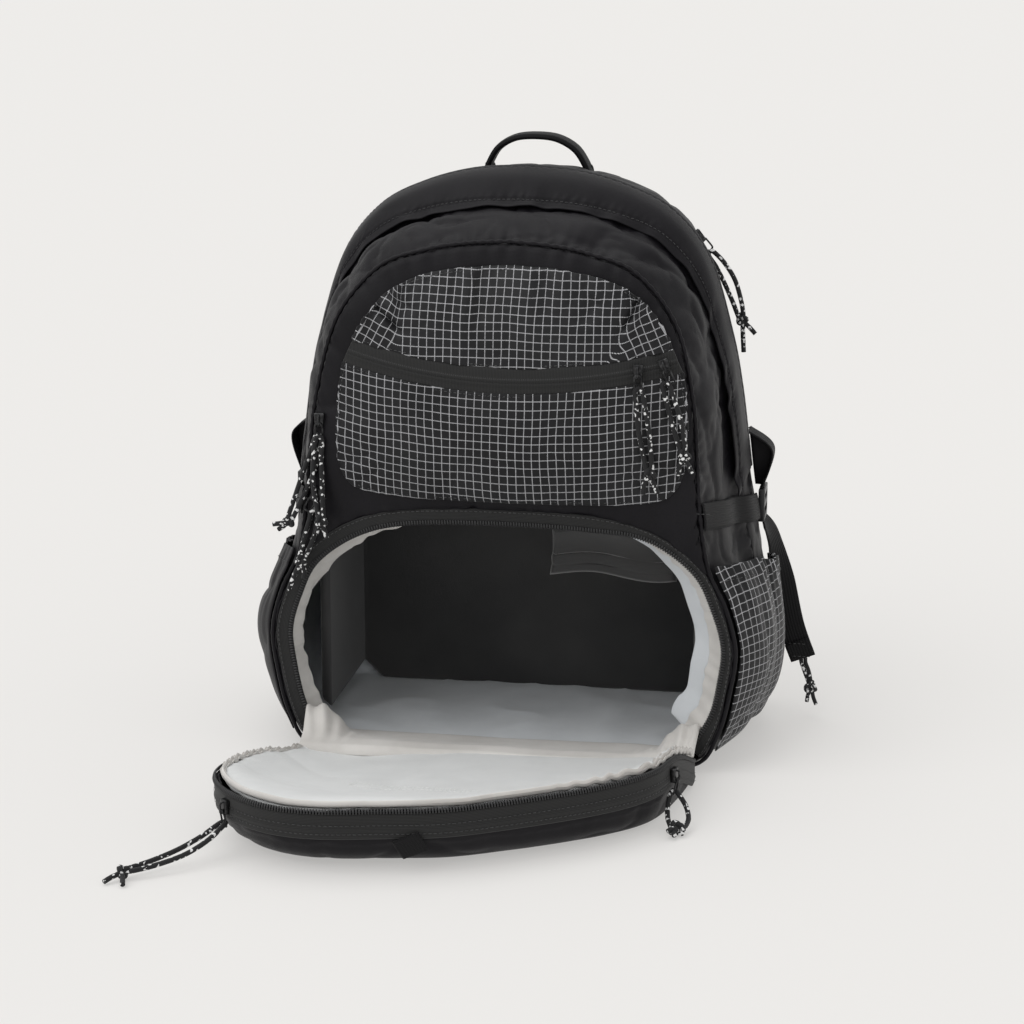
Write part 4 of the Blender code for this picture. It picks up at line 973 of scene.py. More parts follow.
def make_hinge_lining():
    """Lining that runs from the compartment's floor over the hinge to the door, crumpled at both corners."""
    x, k = np.meshgrid(np.linspace(-0.1535, 0.1535, 300), np.linspace(0, 1, 30), indexing="ij")
    y = -0.072 - 0.066 * k
    z = np.interp(k, (0, 0.35, 0.75, 0.93, 1), (0.0105, 0.0140, 0.0200, 0.0190, 0.0130))
    corner = ease((np.abs(x) - 0.098) / 0.05)
    bump = bell(k, 0.5, 0.26)
    ends = ease((np.abs(x) - 0.114) / 0.03)
    z = z + corner * 0.009 * bump + ends * 0.017 * bell(k, 0.30, 0.17)
    p = np.stack([x * (1 - 0.03 * k), y, z], -1)
    rolls = np.sin(np.abs(x) * 2 * np.pi / 0.0105 + 5 * fuzz(p, 22, 3.0))
    p[..., 2] += corner * bump * (0.0020 * rolls + 0.008 * fuzz(p, 34, 6.0) - 0.005 * creases(p, 22, 2.0))
    p[..., 2] += fuzz(p, 20, 9.0) * 0.0012
    p[..., 1] += corner * 0.007 * fuzz(p, 26, 12.0)
    p[..., 2] = np.maximum(p[..., 2], 0.010)
    cloth("hinge_lining", p, LINING_WALL, LINING, side=-1)


# Folds of lining behind the band: side, first and last place, places, widths there and cloth
INNER_BANDS = (("left", 0.18, 0.34, (0.18, 0.22, 0.28, 0.34), (0.002, 0.010, 0.009, 0.002), LINING),
               ("right", 0.62, 0.995, (0.62, 0.72, 0.85, 0.95, 1.0), (0.006, 0.026, 0.034, 0.036, 0.014), INNER_CLOTH))


def make_inner_bands():
    """Second layer of lining behind the first: a narrow fold on the left and a wide smooth one on the right."""
    line = opening_line(401)
    run = np.linspace(0, 1, len(line))
    for label, low, high, places, widths, material in INNER_BANDS:
        part = (run > low) & (run < high)
        first = np.interp(run, BAND_PLACES, BAND_WIDTHS)
        rows = []
        for share in np.linspace(0, 1, 20):
            q = inward(line, 0.0088 + first * 0.50 + np.interp(run, places, widths) * share)[part]
            q[:, 1] += 0.0185 + 0.012 * share
            q[:, 2] = np.maximum(q[:, 2], 0.011)
            rows.append(q)
        p = np.stack(rows)
        p = p + grid_normals(p) * (fuzz(p, 26, 4.0) * 0.0022)[..., None]
        cloth("inner_band_" + label, p, LINING_WALL, material)


COMPARTMENT_TOP = 0.2065
COMPARTMENT_GAP = 0.0080


def make_compartment():
    """Lining of the lower compartment, open at the front."""
    stations = np.concatenate([np.linspace(5.35, 1.2, 40), np.full(16, 1.15)])
    shrink = np.concatenate([np.zeros(40), np.linspace(0.04, 0.97, 16)])
    rings = []
    for u, k in zip(stations, shrink):
        last = where_rises(lambda t: skin(u, t)[..., 2] >= COMPARTMENT_TOP, 1.9, 12.5, ())
        t = np.linspace(-last, last, 161)
        normal = skin_normal(u, t)
        normal[:, 1] = 0
        p = skin(u, t) - unit(normal) * COMPARTMENT_GAP
        p[:, 2] = np.maximum(p[:, 2], COMPARTMENT_GAP)
        roof = p[-1] + (p[0] - p[-1]) * np.linspace(0, 1, 60)[1:, None]
        ring = np.concatenate([p, roof])
        centre = np.array([0, ring[:, 1].mean(), 0.11])
        rings.append(ring + (centre - ring) * np.array([k, 0, k]))
    p = np.stack(rings)
    lift = fuzz(p, 16, 3.0) * 0.002 + creases(p, 14, 6.0) * 0.0025
    lift *= 1 - shrink[:, None]
    normal = grid_normals(p, True)
    centre = np.array([0, 0, 0.1])
    facing = np.sign(np.sum(normal * (centre - p), -1).mean())
    p = p + normal * facing * np.maximum(lift, 0)[..., None]
    cloth("compartment_lining", p, LINING_WALL, INNER_CLOTH, ["compartment_liner"], wrap=True,
          side=facing)


def make_insert():
    """Black padded insert and the flap that hangs inside it."""
    copied("padded_insert", INSERT_CLOTH_PAINTED_REFLECTION, 0.0030, 4)
    low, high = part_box("padded_insert")
    x0, x1 = 0.035, 0.128
    x = np.linspace(x0, x1, 40)
    rows = []
    for k in np.linspace(0, 1, 24):
        depth = low[1] + 0.002 + 0.014 * math.sin(k * 2.2) + 0.010 * k
        top = high[2] - 0.010 - 0.042 * k + 0.003 * np.sin((x - x0) * 60)
        rows.append(np.stack([x - 0.004 * k, np.full(40, depth), top], -1))
    p = np.stack(rows)
    p[..., 1] -= 0.0022 * bell(np.arange(24)[:, None], 17, 1.6)
    p[..., 1] += fuzz(p, 30, 2.0) * 0.002
    cloth("insert_flap_upper", p, 0.006, INSERT_CLOTH_PAINTED_REFLECTION, side=-1)


# Door

DOOR_RIM = np.array((
    (-0.84, 0.00), (-0.95, 0.14), (-1.01, 0.36), (-1.00, 0.60), (-0.94, 0.82), (-0.76, 0.96), (-0.53, 1.01),
    (-0.22, 0.975), (0.04, 0.925), (0.39, 0.775), (0.60, 0.66), (0.73, 0.55), (0.79, 0.43), (0.83, 0.22),
    (0.84, 0.00)))
DOOR_WALL = np.array(((0.0, 0.0), (0.35, 0.0), (0.70, 0.0), (0.87, 0.03), (0.955, 0.22), (0.99, 0.60), (1.0, 1.0)))
DOOR_TOP = np.array(((0.03, 0.16), (0.30, 0.24), (0.60, 0.42), (0.80, 0.66), (0.93, 0.86), (1.0, 0.91)))
DOOR_DEPTH, DOOR_LENGTH = 0.045, 0.250


# Sewn lines on the door's lining: x, y, x, y
LINING_SEAMS = ((-0.084, -0.226, 0.010, -0.253), (-0.084, -0.226, -0.090, -0.236), (-0.090, -0.236, 0.006, -0.262))


def door_rim():
    """Rim of the open door, from its left end to its right end."""
    rim = np.stack([DOOR_RIM[:, 0] * FRONT_WIDTH / 2, FRONT - DOOR_RIM[:, 1] * DOOR_LENGTH, 0 * DOOR_RIM[:, 0]], -1)
    return smooth_path(rim, 401)


def door_point(s, v, section=DOOR_WALL, foot=0.0003, clear=0.0):
    """Point of the door: s along its rim, v from the hinge out and up. Its left side sags."""
    s, v = np.broadcast_arrays(np.asarray(s, float), np.asarray(v, float))
    rim = door_rim()
    edge = np.stack([np.interp(s, np.linspace(0, 1, len(rim)), rim[:, k]) for k in range(3)], -1)
    hinge = np.stack([rim[0, 0] + (rim[-1, 0] - rim[0, 0]) * s, np.full(s.shape, FRONT - 0.0006), 0 * s], -1)
    c = curve_at(section, v * (len(section) - 1))
    reach = np.linalg.norm(edge - hinge, axis=-1)
    way = c[..., 0] * (1 - clear / reach)
    p = hinge * (1 - way)[..., None] + edge * way[..., None]
    ends = ease(np.minimum(s, 1 - s) / 0.16)
    left = ease((-p[..., 0] - 0.02) / 0.10) * ease((p[..., 1] + 0.30) / 0.17)
    p[..., 2] = np.maximum(DOOR_DEPTH * (0.30 + 0.70 * ends) * (1 - 0.66 * left) * c[..., 1], 0) + foot
    p[..., 0] += 0.020 * left * ease((-p[..., 0] - 0.10) / 0.07)
    return p


def door_out(s, v):
    """Direction out of the door's cloth."""
    e = 0.01
    across = door_point(np.minimum(s + e, 1), v) - door_point(np.maximum(s - e, 0), v)
    out = door_point(s, np.minimum(v + e, 1)) - door_point(s, np.maximum(v - e, 0))
    return -unit(np.cross(out, across))


def make_door():
    """Door laid open on the floor: cloth tray, padded lining, its border, zip tape and coil."""
    shares = np.concatenate([np.linspace(0, 0.5, 12), np.linspace(0.52, 1, 56)])
    s, v = np.meshgrid(np.linspace(0.035, 0.965, 221), shares, indexing="ij")
    p = door_point(s, v)
    out = door_out(s, v)
    wall = ease((v - 0.5) / 0.15)
    lift = wall * (gathers(p, 3, 0.0009, 0.014, 0.016, 4.0) - creases(p, 24, 5.0) * 0.0014)
    lift += wall * 0.0010 * bell(v, 0.80, 0.03)
    p = p + out * np.clip(lift, -0.002, 0.0004)[..., None]
    p[..., 2] = np.maximum(p[..., 2], 0.0003)
    cloth("door_shell", p, 0.0016, NYLON, ["door_shell"], side=1)

    s, v = np.meshgrid(np.linspace(0.07, 0.93, 191), np.linspace(0, 1, 76), indexing="ij")
    p = door_point(s, v, DOOR_TOP, DOOR_LINING_FOOT + 0.004, 0.0065)
    run = np.minimum(v, 1 - v) * 0.22
    puff = 0.004 * (1 - np.exp(-run / 0.010)) - 0.002
    puff += fuzz(p, 9, 8.0) * 0.0020 - creases(p, 10, 3.0) * 0.0016
    puff += gathers(p, 3, 0.0007, 0.016, 0.014, 2.0)
    p[..., 2] += np.clip(puff, -0.004, 0.003)
    cloth("door_lining", p, 0.0042, DOOR_CLOTH, ["door_lining"], side=-1)
    for row, (x0, y0, x1, y1) in enumerate(LINING_SEAMS):
        line = np.stack([np.linspace(x0, x1, 160), np.linspace(y0, y1, 160)], -1)
        near = np.linalg.norm(p[None, ..., :2] - line[:, None, None], axis=-1).reshape(160, -1).argmin(1)
        height = np.convolve(np.pad(p.reshape(-1, 3)[near, 2], 6, mode="edge"), np.ones(13) / 13, mode="valid")
        stitches(f"lining_seam_{row}", np.column_stack([line, height + 0.0003]), (0, 0, 1), GREY_THREAD)

    s, k = np.meshgrid(np.linspace(0.045, 0.955, 420), np.linspace(0, 1, 18), indexing="ij")
    p = door_point(s, 0.93 + 0.07 * k, DOOR_TOP, DOOR_LINING_FOOT + 0.0046, 0.0045)
    p[..., 2] += 0.0040 * np.sin(np.pi * k) ** 0.6 - 0.0010
    back = ease((p[..., 1] + 0.30) / 0.05)
    p[..., 2] += (gathers(p, 3, 0.0024, 0.0150, 0.03, 6.0) * back + fuzz(p, 40, 2.0) * 0.0008)
    cloth("door_lining_border", p, 0.0030, LINING, side=-1)

    line_s = np.linspace(0.035, 0.965, 601)
    out = door_out(line_s, np.full(601, 0.985))
    top = door_point(line_s, np.full(601, 1.0))
    down = unit(door_point(line_s, np.full(601, 0.93)) - top)
    rows = []
    for k in np.linspace(0, 1, 14):
        bulge = 0.0008 * math.exp(-((k - 0.62) / 0.08) ** 2)
        rows.append(top + out * (0.0024 + bulge) + down * (0.0006 + 0.0180 * k))
    p = np.stack(rows)
    p[..., 2] = np.maximum(p[..., 2], 0.002)
    cloth("door_tape", p, CLOTH_WALL, TAPE, ["door_tape"], side=1)
    teeth = top + out * 0.0012 - down * 0.0012
    zip_teeth("door_teeth", teeth, out * 0.75 - down * 0.5, 0.0040, 0.0017, 0.0021, COIL, ["door_coil"])
    for label, drop in (("upper", 0.0085), ("lower", 0.0150)):
        row = top + out * 0.0028 + down * drop
        row[:, 2] = np.maximum(row[:, 2], 0.0030)
        stitches("door_stitches_" + label, row, out, BLACK_THREAD)
    s = np.linspace(0.09, 0.91, 500)
    seam = door_point(s, np.full(500, 0.955), DOOR_TOP, DOOR_LINING_FOOT + 0.004, 0.0065)
    seam[:, 2] += 0.0012
    stitches("door_lining_stitches", seam, (0, -0.3, 1), GREY_THREAD, thread=0.00035)
    make_tab()


def make_tab():
    """Webbing tab on the door's wall."""
    s = np.linspace(0.530, 0.538, 24)
    v = np.linspace(0.85, 0.73, 24)
    path = door_point(s, v) + door_out(s, v) * 0.0048
    path[:, 2] = np.maximum(path[:, 2], 0.0016)
    across = door_point(0.54, 0.9) - door_point(0.52, 0.9)
    strap("door_tab", path, [across] * 2, WEB_WIDTH, WEB_THICK, WEBBING, ["door_tab"])


# Sides

# Depth of the ladder locks, height and half width of the side bands, and their rise to the back
LOCK_Y = 0.042
BAND_Z, BAND_HALF, BAND_RISE = 0.178, 0.010, 0.022
# Loose tails: steps out, back and up from the lock's foot, and the direction of the webbing's width
TAIL_ROUTES = {
    "right": ((0.008, 0.0, -0.020, 0.5, 1.0), (0.016, 0.0, -0.055, 1.0, 0.3), (0.024, -0.002, -0.090, 1.0, 0.1),
              (0.034, -0.003, -0.117, 1.0, 0.0)),
    "left": ((0.004, 0.004, -0.020, 0, 1), (0.007, 0.004, -0.055, 0, 1), (0.009, 0.004, -0.090, 0, 1),
             (0.009, 0.004, -0.117, 0, 1))}
TAIL_Y = 0.058
# Shoulder strap and its webbing: place to the side, lift off the back and share of the height
STRAP_LINE = ((0.050, 0.0006, 0.895), (0.056, 0.0165, 0.80), (0.070, 0.0225, 0.64), (0.088, 0.0200, 0.48),
              (0.104, 0.0130, 0.36))
STRAP_WEB_LINE = ((0.112, 0.0120, 0.20), (0.122, 0.0060, 0.16), (0.128, 0.0025, 0.09), (0.130, 0.0014, 0.05))
STRAP_WIDTH, STRAP_THICK, STRAP_TWIST = 0.060, 0.0080, 0.15
# Right half of the grab handle
HANDLE_HALF = ((0.0412, 0.077, 0.4215), (0.0405, 0.076, 0.4285), (0.0378, 0.075, 0.4370), (0.0300, 0.072, 0.4490),
               (0.0165, 0.069, 0.4570))


def make_bottle_pocket(label, side):
    """Pocket that bellies out from the side, drawn in at its mouth."""
    depth = 0.016 if side > 0 else 0.015
    front = skin(5.8, 5.0)[1]
    across, up = np.meshgrid(np.linspace(0, 1, 60), np.linspace(0, 1, 64), indexing="ij")
    belly = np.sin(np.pi * np.minimum(up * 0.72, 1)) ** 0.7
    if side < 0:
        belly = belly * (1 - 0.85 * ease((up - 0.5) / 0.5))
    bulge = depth * np.sin(np.pi * np.clip(across, 0, 1)) ** 0.8 * belly
    y = front + (0.048 - front) * across
    z = 0.018 + (0.160 - 0.026 * across - 0.018) * up
    base = flank(y, z, 0.0012 + bulge + 0.0015, side)
    lift = gathers(base, 3, 0.0022, 0.012, 0.026, 4.0) + gathers(base, 1, 0.0005, 0.012, 0.012, 6.0)
    lift += fuzz(base, 16, 6.0) * 0.0016 - creases(base, 17, 3.0) * 0.0026
    lift *= np.clip(bulge / 0.003, 0.15, 1)
    hem = ease((up - 0.90) / 0.02) * 0.0008
    normal = grid_normals(base)
    facing = np.sign(normal[30, 30, 0] * side)
    normal = normal * facing
    p = base + normal * (np.clip(lift, -0.0040, 0.0018) + hem)[..., None]
    fabric = GRID if side > 0 else NYLON
    uv = np.stack([y + 0.004 * fuzz(base, 17, 5.0), z + 0.005 * fuzz(base, 14, 9.0)], -1)
    cloth("bottle_pocket_" + label, p, CLOTH_WALL, fabric, ["bottle_pocket_" + label], uv=uv, side=facing)
    row = p[:, 58] + normal[:, 58] * 0.0003
    stitches("bottle_stitches_" + label, row, (side, 0, 0), BLACK_THREAD)


def make_side_strap(label, side):
    """Band, lock, loop and loose tail of a side strap. Returns the end of the tail."""
    front, rear = skin(5.9, 7.5)[1], LOCK_Y - 0.0135 - 0.0006
    edges = np.linspace(-BAND_HALF, BAND_HALF, 9)
    rows = []
    for edge in edges:
        y = np.linspace(front, rear, 70)
        z = BAND_Z + edge + BAND_RISE * (rear - y) / (rear - front)
        rows.append(flank(y, z, 0.0033 - 0.0006 * (abs(edge) / BAND_HALF) ** 4, side))
    p = np.stack(rows)
    run = run_of(p, 1)
    uv = np.stack([np.broadcast_to(edges[:, None], run.shape), run], -1)
    normal = grid_normals(p)[4, 30, 0] * side
    cloth("side_band_" + label, p, 0.0015, WEBBING, ["side_band_" + label], uv=uv,
          side=np.sign(normal))
    copied("ladder_lock_" + label, PLASTIC, 0.0008, 3)
    lock_low, lock_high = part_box("ladder_lock_" + label)
    middle = centre("ladder_lock_" + label)
    top = flank(LOCK_Y, 0.236, 0.0011, side)
    lead = np.array((middle[0], middle[1], lock_high[2] + 0.0006))
    bow = np.array((lead[0] + side * 0.007, LOCK_Y, (top[2] + lead[2]) / 2 + 0.007))
    strap("lock_loop_" + label, smooth_path([top, bow, lead], 40), [(0, 1, 0)] * 2, WEB_WIDTH, WEB_THICK, WEBBING,
          ["lock_loop_" + label])
    loop = smooth_path([top, bow, lead], 24)
    wall = flank(LOCK_Y, loop[:, 2], 0.0014, side)
    p = np.stack([wall * (1 - k) + loop * k for k in np.linspace(0.02, 0.93, 12)])
    p[..., 1] += 0.004 + fuzz(p, 40, 3.0) * 0.002
    cloth("lock_tab_" + label, p, 0.0022, NYLON, side=-side)
    foot = np.array((middle[0], middle[1], lock_low[2] - 0.0006))
    route = TAIL_ROUTES[label]
    points = [foot] + [(foot[0] + side * a, TAIL_Y + b, foot[2] + c) for a, b, c, _, _ in route]
    ways = [(0, 1, 0)] + [(a, b, 0) for _, _, _, a, b in route]
    path = smooth_path(points, 70)
    tail = strap("strap_tail_" + label, path, ways, WEB_WIDTH, WEB_THICK, WEBBING, ["strap_tail_" + label])
    end = path[-9:]
    facing = unit(np.cross(np.gradient(path, axis=0)[-8], ways[-1]))
    facing = facing * (np.sign(facing[1]) or 1)
    strap("strap_fold_" + label, end - facing * 0.0017, ways[-2:], WEB_WIDTH + 0.0004, WEB_THICK, WEBBING)
    for k, row in enumerate((1, 7)):
        across = unit(np.array(ways[-1], float))
        line = end[row] + across * np.linspace(-0.008, 0.008, 20)[:, None] - facing * 0.0027
        stitches(f"fold_stitches_{label}_{k}", line, -facing, BLACK_THREAD)
    return path[-1]


def make_shoulder_strap(label, side):
    """Padded strap with its lock and webbing."""
    across = np.array((1, 0, side * STRAP_TWIST))
    line = [(side * x, lean_y(0, 0.03, share * HEIGHT) + 0.005 + off, share * HEIGHT) for x, off, share in STRAP_LINE]
    path = smooth_path(line, 90)
    pad = strap("shoulder_strap_" + label, path, [across] * 2, STRAP_WIDTH, STRAP_THICK, PADDING,
                ["shoulder_strap_" + label], crown_share=0.18)
    for edge in (-1, 1):
        binding = path + unit(across) * edge * (STRAP_WIDTH / 2 - 0.0015)
        strap(f"strap_binding_{label}_{'outer' if edge * side > 0 else 'inner'}", binding, [across] * 2, 0.005, 0.0092,
              TAPE)
    lock = "shoulder_lock_" + label
    copied(lock, PLASTIC, 0.0008, 3)
    middle = centre(lock)
    web = [(middle[0], middle[1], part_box(lock)[0][2] - WEB_THICK)]
    web += [(side * x, DEPTH / 2 + off, share * HEIGHT) for x, off, share in STRAP_WEB_LINE]
    strap("shoulder_webbing_" + label, smooth_path(web, 60), [across] * 2, WEB_WIDTH, WEB_THICK, WEBBING,
          ["shoulder_webbing_" + label])


def make_back_panel():
    """Padded back with sewn channels between its pads."""
    t = np.linspace(0, 2 * LAST, 261)
    edge = skin(0.0, t)
    way = unit(skin(0.0, t + 0.1) - skin(0.0, t - 0.1))
    ring = edge + np.stack([-way[:, 2], 0 * t, way[:, 0]], -1) * 0.0042
    shrink = np.concatenate([[0.0, 0.004, 0.010, 0.018], np.linspace(0.03, 0.985, 50)])
    centre = np.array((0, 0, 0.21))
    p = np.stack([ring + (centre - ring) * np.array((k, 0, k)) for k in shrink])
    x, z = p[..., 0], p[..., 2]
    lean = DEPTH / 2 - lean_y(0, 0.03, z)
    channel = bell(x, 0, 0.009) + bell(z, 0.24, 0.007) + bell(z, 0.11, 0.007)
    rim = 1 - ease((shrink[:, None] - 0.0) / 0.03)
    p[..., 1] = DEPTH / 2 - lean - 0.0006 - 0.0045 * np.minimum(channel, 1) - 0.003 * rim + fuzz(p, 14, 2.0) * 0.0008
    cloth("back_panel", p, 0.0075, PADDING, ["back_panel"], uv=np.stack([x, z], -1), wrap=True, side=1)


def make_handle():
    """Rolled grab handle whose feet go down behind the top edge."""
    path = smooth_path([*HANDLE_HALF, (0, 0.068, 0.4590), *((-x, y, z) for x, y, z in HANDLE_HALF[::-1])], 90)
    strap("grab_handle", path, [(0, 1, 0)] * 2, 0.020, 0.0042, WEBBING, ["grab_handle"], crown_share=0.25)
    for label, side in SIDES:
        outer, inner = (crown(np.full(12, side * x), np.linspace(0.078, 0.098, 12), 0.0015) for x in (0.0415, 0.0360))
        cloth("handle_foot_" + label, between(outer, inner, np.linspace(0, 1, 8)), 0.0022, WEBBING, side=side)


# Sliders, pulls and knots

def tube_mesh(points, radius, sides=10):
    """Round tube along a line of points."""
    points = np.asarray(points, float)
    ahead = unit(np.gradient(points, axis=0))
    normal = np.zeros_like(points)
    ref = np.array((0.0, 0.0, 1.0)) if abs(ahead[0, 2]) < 0.9 else np.array((1.0, 0.0, 0.0))
    normal[0] = unit(np.cross(ahead[0], ref))
    for i in range(1, len(points)):
        normal[i] = unit(normal[i - 1] - ahead[i] * np.dot(normal[i - 1], ahead[i]))
    side = np.cross(ahead, normal)
    turn = np.linspace(0, 2 * np.pi, sides, endpoint=False)
    radius = np.broadcast_to(np.asarray(radius, float), (len(points),))
    p = points[:, None] + radius[:, None, None] * (normal[:, None] * np.cos(turn)[None, :, None]
                                                   + side[:, None] * np.sin(turn)[None, :, None])
    return p.reshape(-1, 3), ring_faces(len(points), sides)


def joined(name, parts, material, nodes=()):
    """Several closed meshes made into one piece."""
    verts, faces, start = [], [], 0
    for v, f in parts:
        verts.append(np.asarray(v))
        faces += [tuple(i + start for i in face) for face in f]
        start += len(v)
    return finish_mesh(name, np.concatenate(verts), faces, None, material, nodes)


def rounded_box(size, edge, levels=2):
    """Box with round edges and soft faces, made of one mesh."""
    builder = bmesh.new()
    bmesh.ops.create_cube(builder, size=1.0)
    bmesh.ops.scale(builder, vec=Vector(size), verts=builder.verts)
    bmesh.ops.bevel(builder, geom=builder.edges[:], offset=edge, segments=levels, affect="EDGES", profile=0.6)
    builder.verts.ensure_lookup_table()
    verts = np.array([v.co[:] for v in builder.verts])
    faces = [tuple(v.index for v in f.verts) for f in builder.faces]
    builder.free()
    return verts, faces


def make_slider(name, middle, turn_y, turn_z):
    """Slider body with its bridge and a bent wire loop under it."""
    body, faces = rounded_box((0.0078, 0.0038, 0.0108), 0.0009, 3)
    body[:, 0] *= 1 - 0.28 * ease((-body[:, 2] - 0.001) / 0.005)
    bridge_line = smooth_path([(0, -0.0012, 0.0040), (0, -0.0036, 0.0030), (0, -0.0040, -0.0005), (0, -0.0034, -0.0034),
                               (0, -0.0012, -0.0042)], 16)
    bridge = tube_mesh(bridge_line, 0.0008, 8)
    half, top, bottom = 0.0027, -0.0028, -0.0145
    wire = smooth_path([(0, -0.0030, top + 0.001), (half * 0.9, -0.0030, top - 0.0008), (half, -0.0022, top - 0.003),
                        (half, -0.0012, bottom + 0.003), (half * 0.85, -0.0006, bottom + 0.0006), (0, -0.0005, bottom),
                        (-half * 0.85, -0.0006, bottom + 0.0006), (-half, -0.0012, bottom + 0.003),
                        (-half, -0.0022, top - 0.003), (-half * 0.9, -0.0030, top - 0.0008),
                        (-0.0001, -0.0030, top + 0.001)], 60)
    loop = tube_mesh(wire, 0.00075, 8)
    cy, sy, cz, sz = math.cos(turn_y), math.sin(turn_y), math.cos(turn_z), math.sin(turn_z)
    spin = np.array(((cz, -sz, 0), (sz, cz, 0), (0, 0, 1))) @ np.array(((cy, 0, sy), (0, 1, 0), (-sy, 0, cy)))
    parts = [(v @ spin.T + np.asarray(middle), f) for v, f in ((body, faces), bridge, loop)]
    joined(name, parts, METAL, [name])


def slider_middle(node, rise=0.0043):
    """Middle of a slider's body, above the middle of its node, which holds the wire too."""
    return centre(node) + np.array((0, 0, rise))


def make_sliders():
    make_slider("pocket_slider_left", slider_middle("pocket_slider_left"), 0, 0)
    make_slider("pocket_slider_right", slider_middle("pocket_slider_right", 0.0038), -0.4, 0)
    make_slider("main_slider_right", RIGHT_SLIDER, -0.75, 0.5)
    make_slider("main_slider_left", slider_middle("main_slider_left"), 0, 0)
    make_slider("lower_slider_left", slider_middle("lower_slider_left", 0.0038), 0.5, 0)
    for name, s in (("door_slider_left", 0.335), ("door_slider_right", 0.846)):
        away = door_out(s, 0.99)
        make_slider(name, slider_middle(name), 0, math.atan2(away[0], -away[1]))


def knot_mesh(middle, axis, size=0.0050, cord=0.0018):
    """Overhand knot pulled tight, as a tube that crosses itself."""
    a = np.linspace(0, 2 * np.pi, 72, endpoint=False)
    x = np.sin(a) + 2 * np.sin(2 * a)
    y = np.cos(a) - 2 * np.cos(2 * a)
    z = -np.sin(3 * a) * 1.4
    p = np.stack([x, y, z], -1) / 3.0 * (size - cord)
    p = np.concatenate([p, p[:1]])
    axis = unit(np.asarray(axis, float))
    ref = np.array((0, -1.0, 0)) if abs(axis[1]) < 0.9 else np.array((1.0, 0, 0))
    side = unit(np.cross(axis, ref))
    up = np.cross(side, axis)
    return tube_mesh(p @ np.stack([side, axis, up]) + np.asarray(middle), cord, 10)


def cord_curve(name, points, diameter, nodes):
    """Cord as a curve with a round section."""
    data = bpy.data.curves.new(name, "CURVE")
    data.dimensions = "3D"
    data.bevel_depth = diameter / 2
    data.bevel_resolution = 4
    data.use_fill_caps = True
    line = data.splines.new("POLY")
    line.points.add(len(points) - 1)
    for place, point in zip(line.points, points):
        place.co = (*point, 1.0)
    piece = placed(name, data)
    dress(piece, BRAID, nodes)
    return piece


def make_pull(label, strands, knot, exit_point, size):
    """Two runs of cord and the knot that ends them."""
    axis = unit(np.asarray(knot) - np.asarray(exit_point))
    knot_piece = joined("pull_knot_" + label, [knot_mesh(knot, axis, size)], BRAID, ["pull_knot_" + label])
    for side, points in zip(("a", "b"), strands):
        piece = cord_curve(f"pull_cord_{label}_{side}", points, PULL_CORD, ["pull_cord_" + label])


def centre(node):
    """Middle of a node's box."""
    low, high = (np.array(v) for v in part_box(node))
    return (low + high) / 2


# Places of the right main slider and its pull, which the photo shows higher than the frame
RIGHT_SLIDER, RIGHT_START, RIGHT_KNOT = (0.1300, 0.052, 0.3850), (0.1395, 0.046, 0.3755), (0.1650, 0.045, 0.3228)


def bend_of(slider):
    """Inside of the bend at the lower end of a slider's wire."""
    middle = centre(slider)
    return np.array((middle[0], middle[1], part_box(slider)[0][2] + WIRE_BEND))


def hanging_pull(label, slider, width, bow, tails, before=0.0, start=None, knot=None, flat=False, size=0.0056):
    """Cord doubled through a slider's loop, spread by width half way, with bow as its sway."""
    knot = centre("pull_knot_" + label) if knot is None else np.array(knot)
    start = (bend_of(slider) if start is None else np.array(start)) + np.array((0, -before, 0))
    way = unit(knot - start)
    facing = np.array((0, 0, 1.0)) if flat else np.array((0, -1.0, 0))
    across = unit(np.cross(way, facing))
    strands = []
    for k, tail in zip((-1, 1), tails):
        points = [start, start + way * 0.003 + across * k * 0.0026]
        for share, wide in ((0.25, 0.85), (0.5, 1.0), (0.75, 0.8), (0.93, 0.55)):
            middle = start + (knot - start) * share
            points.append(middle + across * k * width * wide / 2 + np.asarray(bow) * math.sin(math.pi * share))
        points.append(knot + across * k * 0.0012)
        points += [knot + np.asarray(p) for p in tail]
        strands.append(smooth_path(points, 70))
    make_pull(label, strands, knot, start, size)


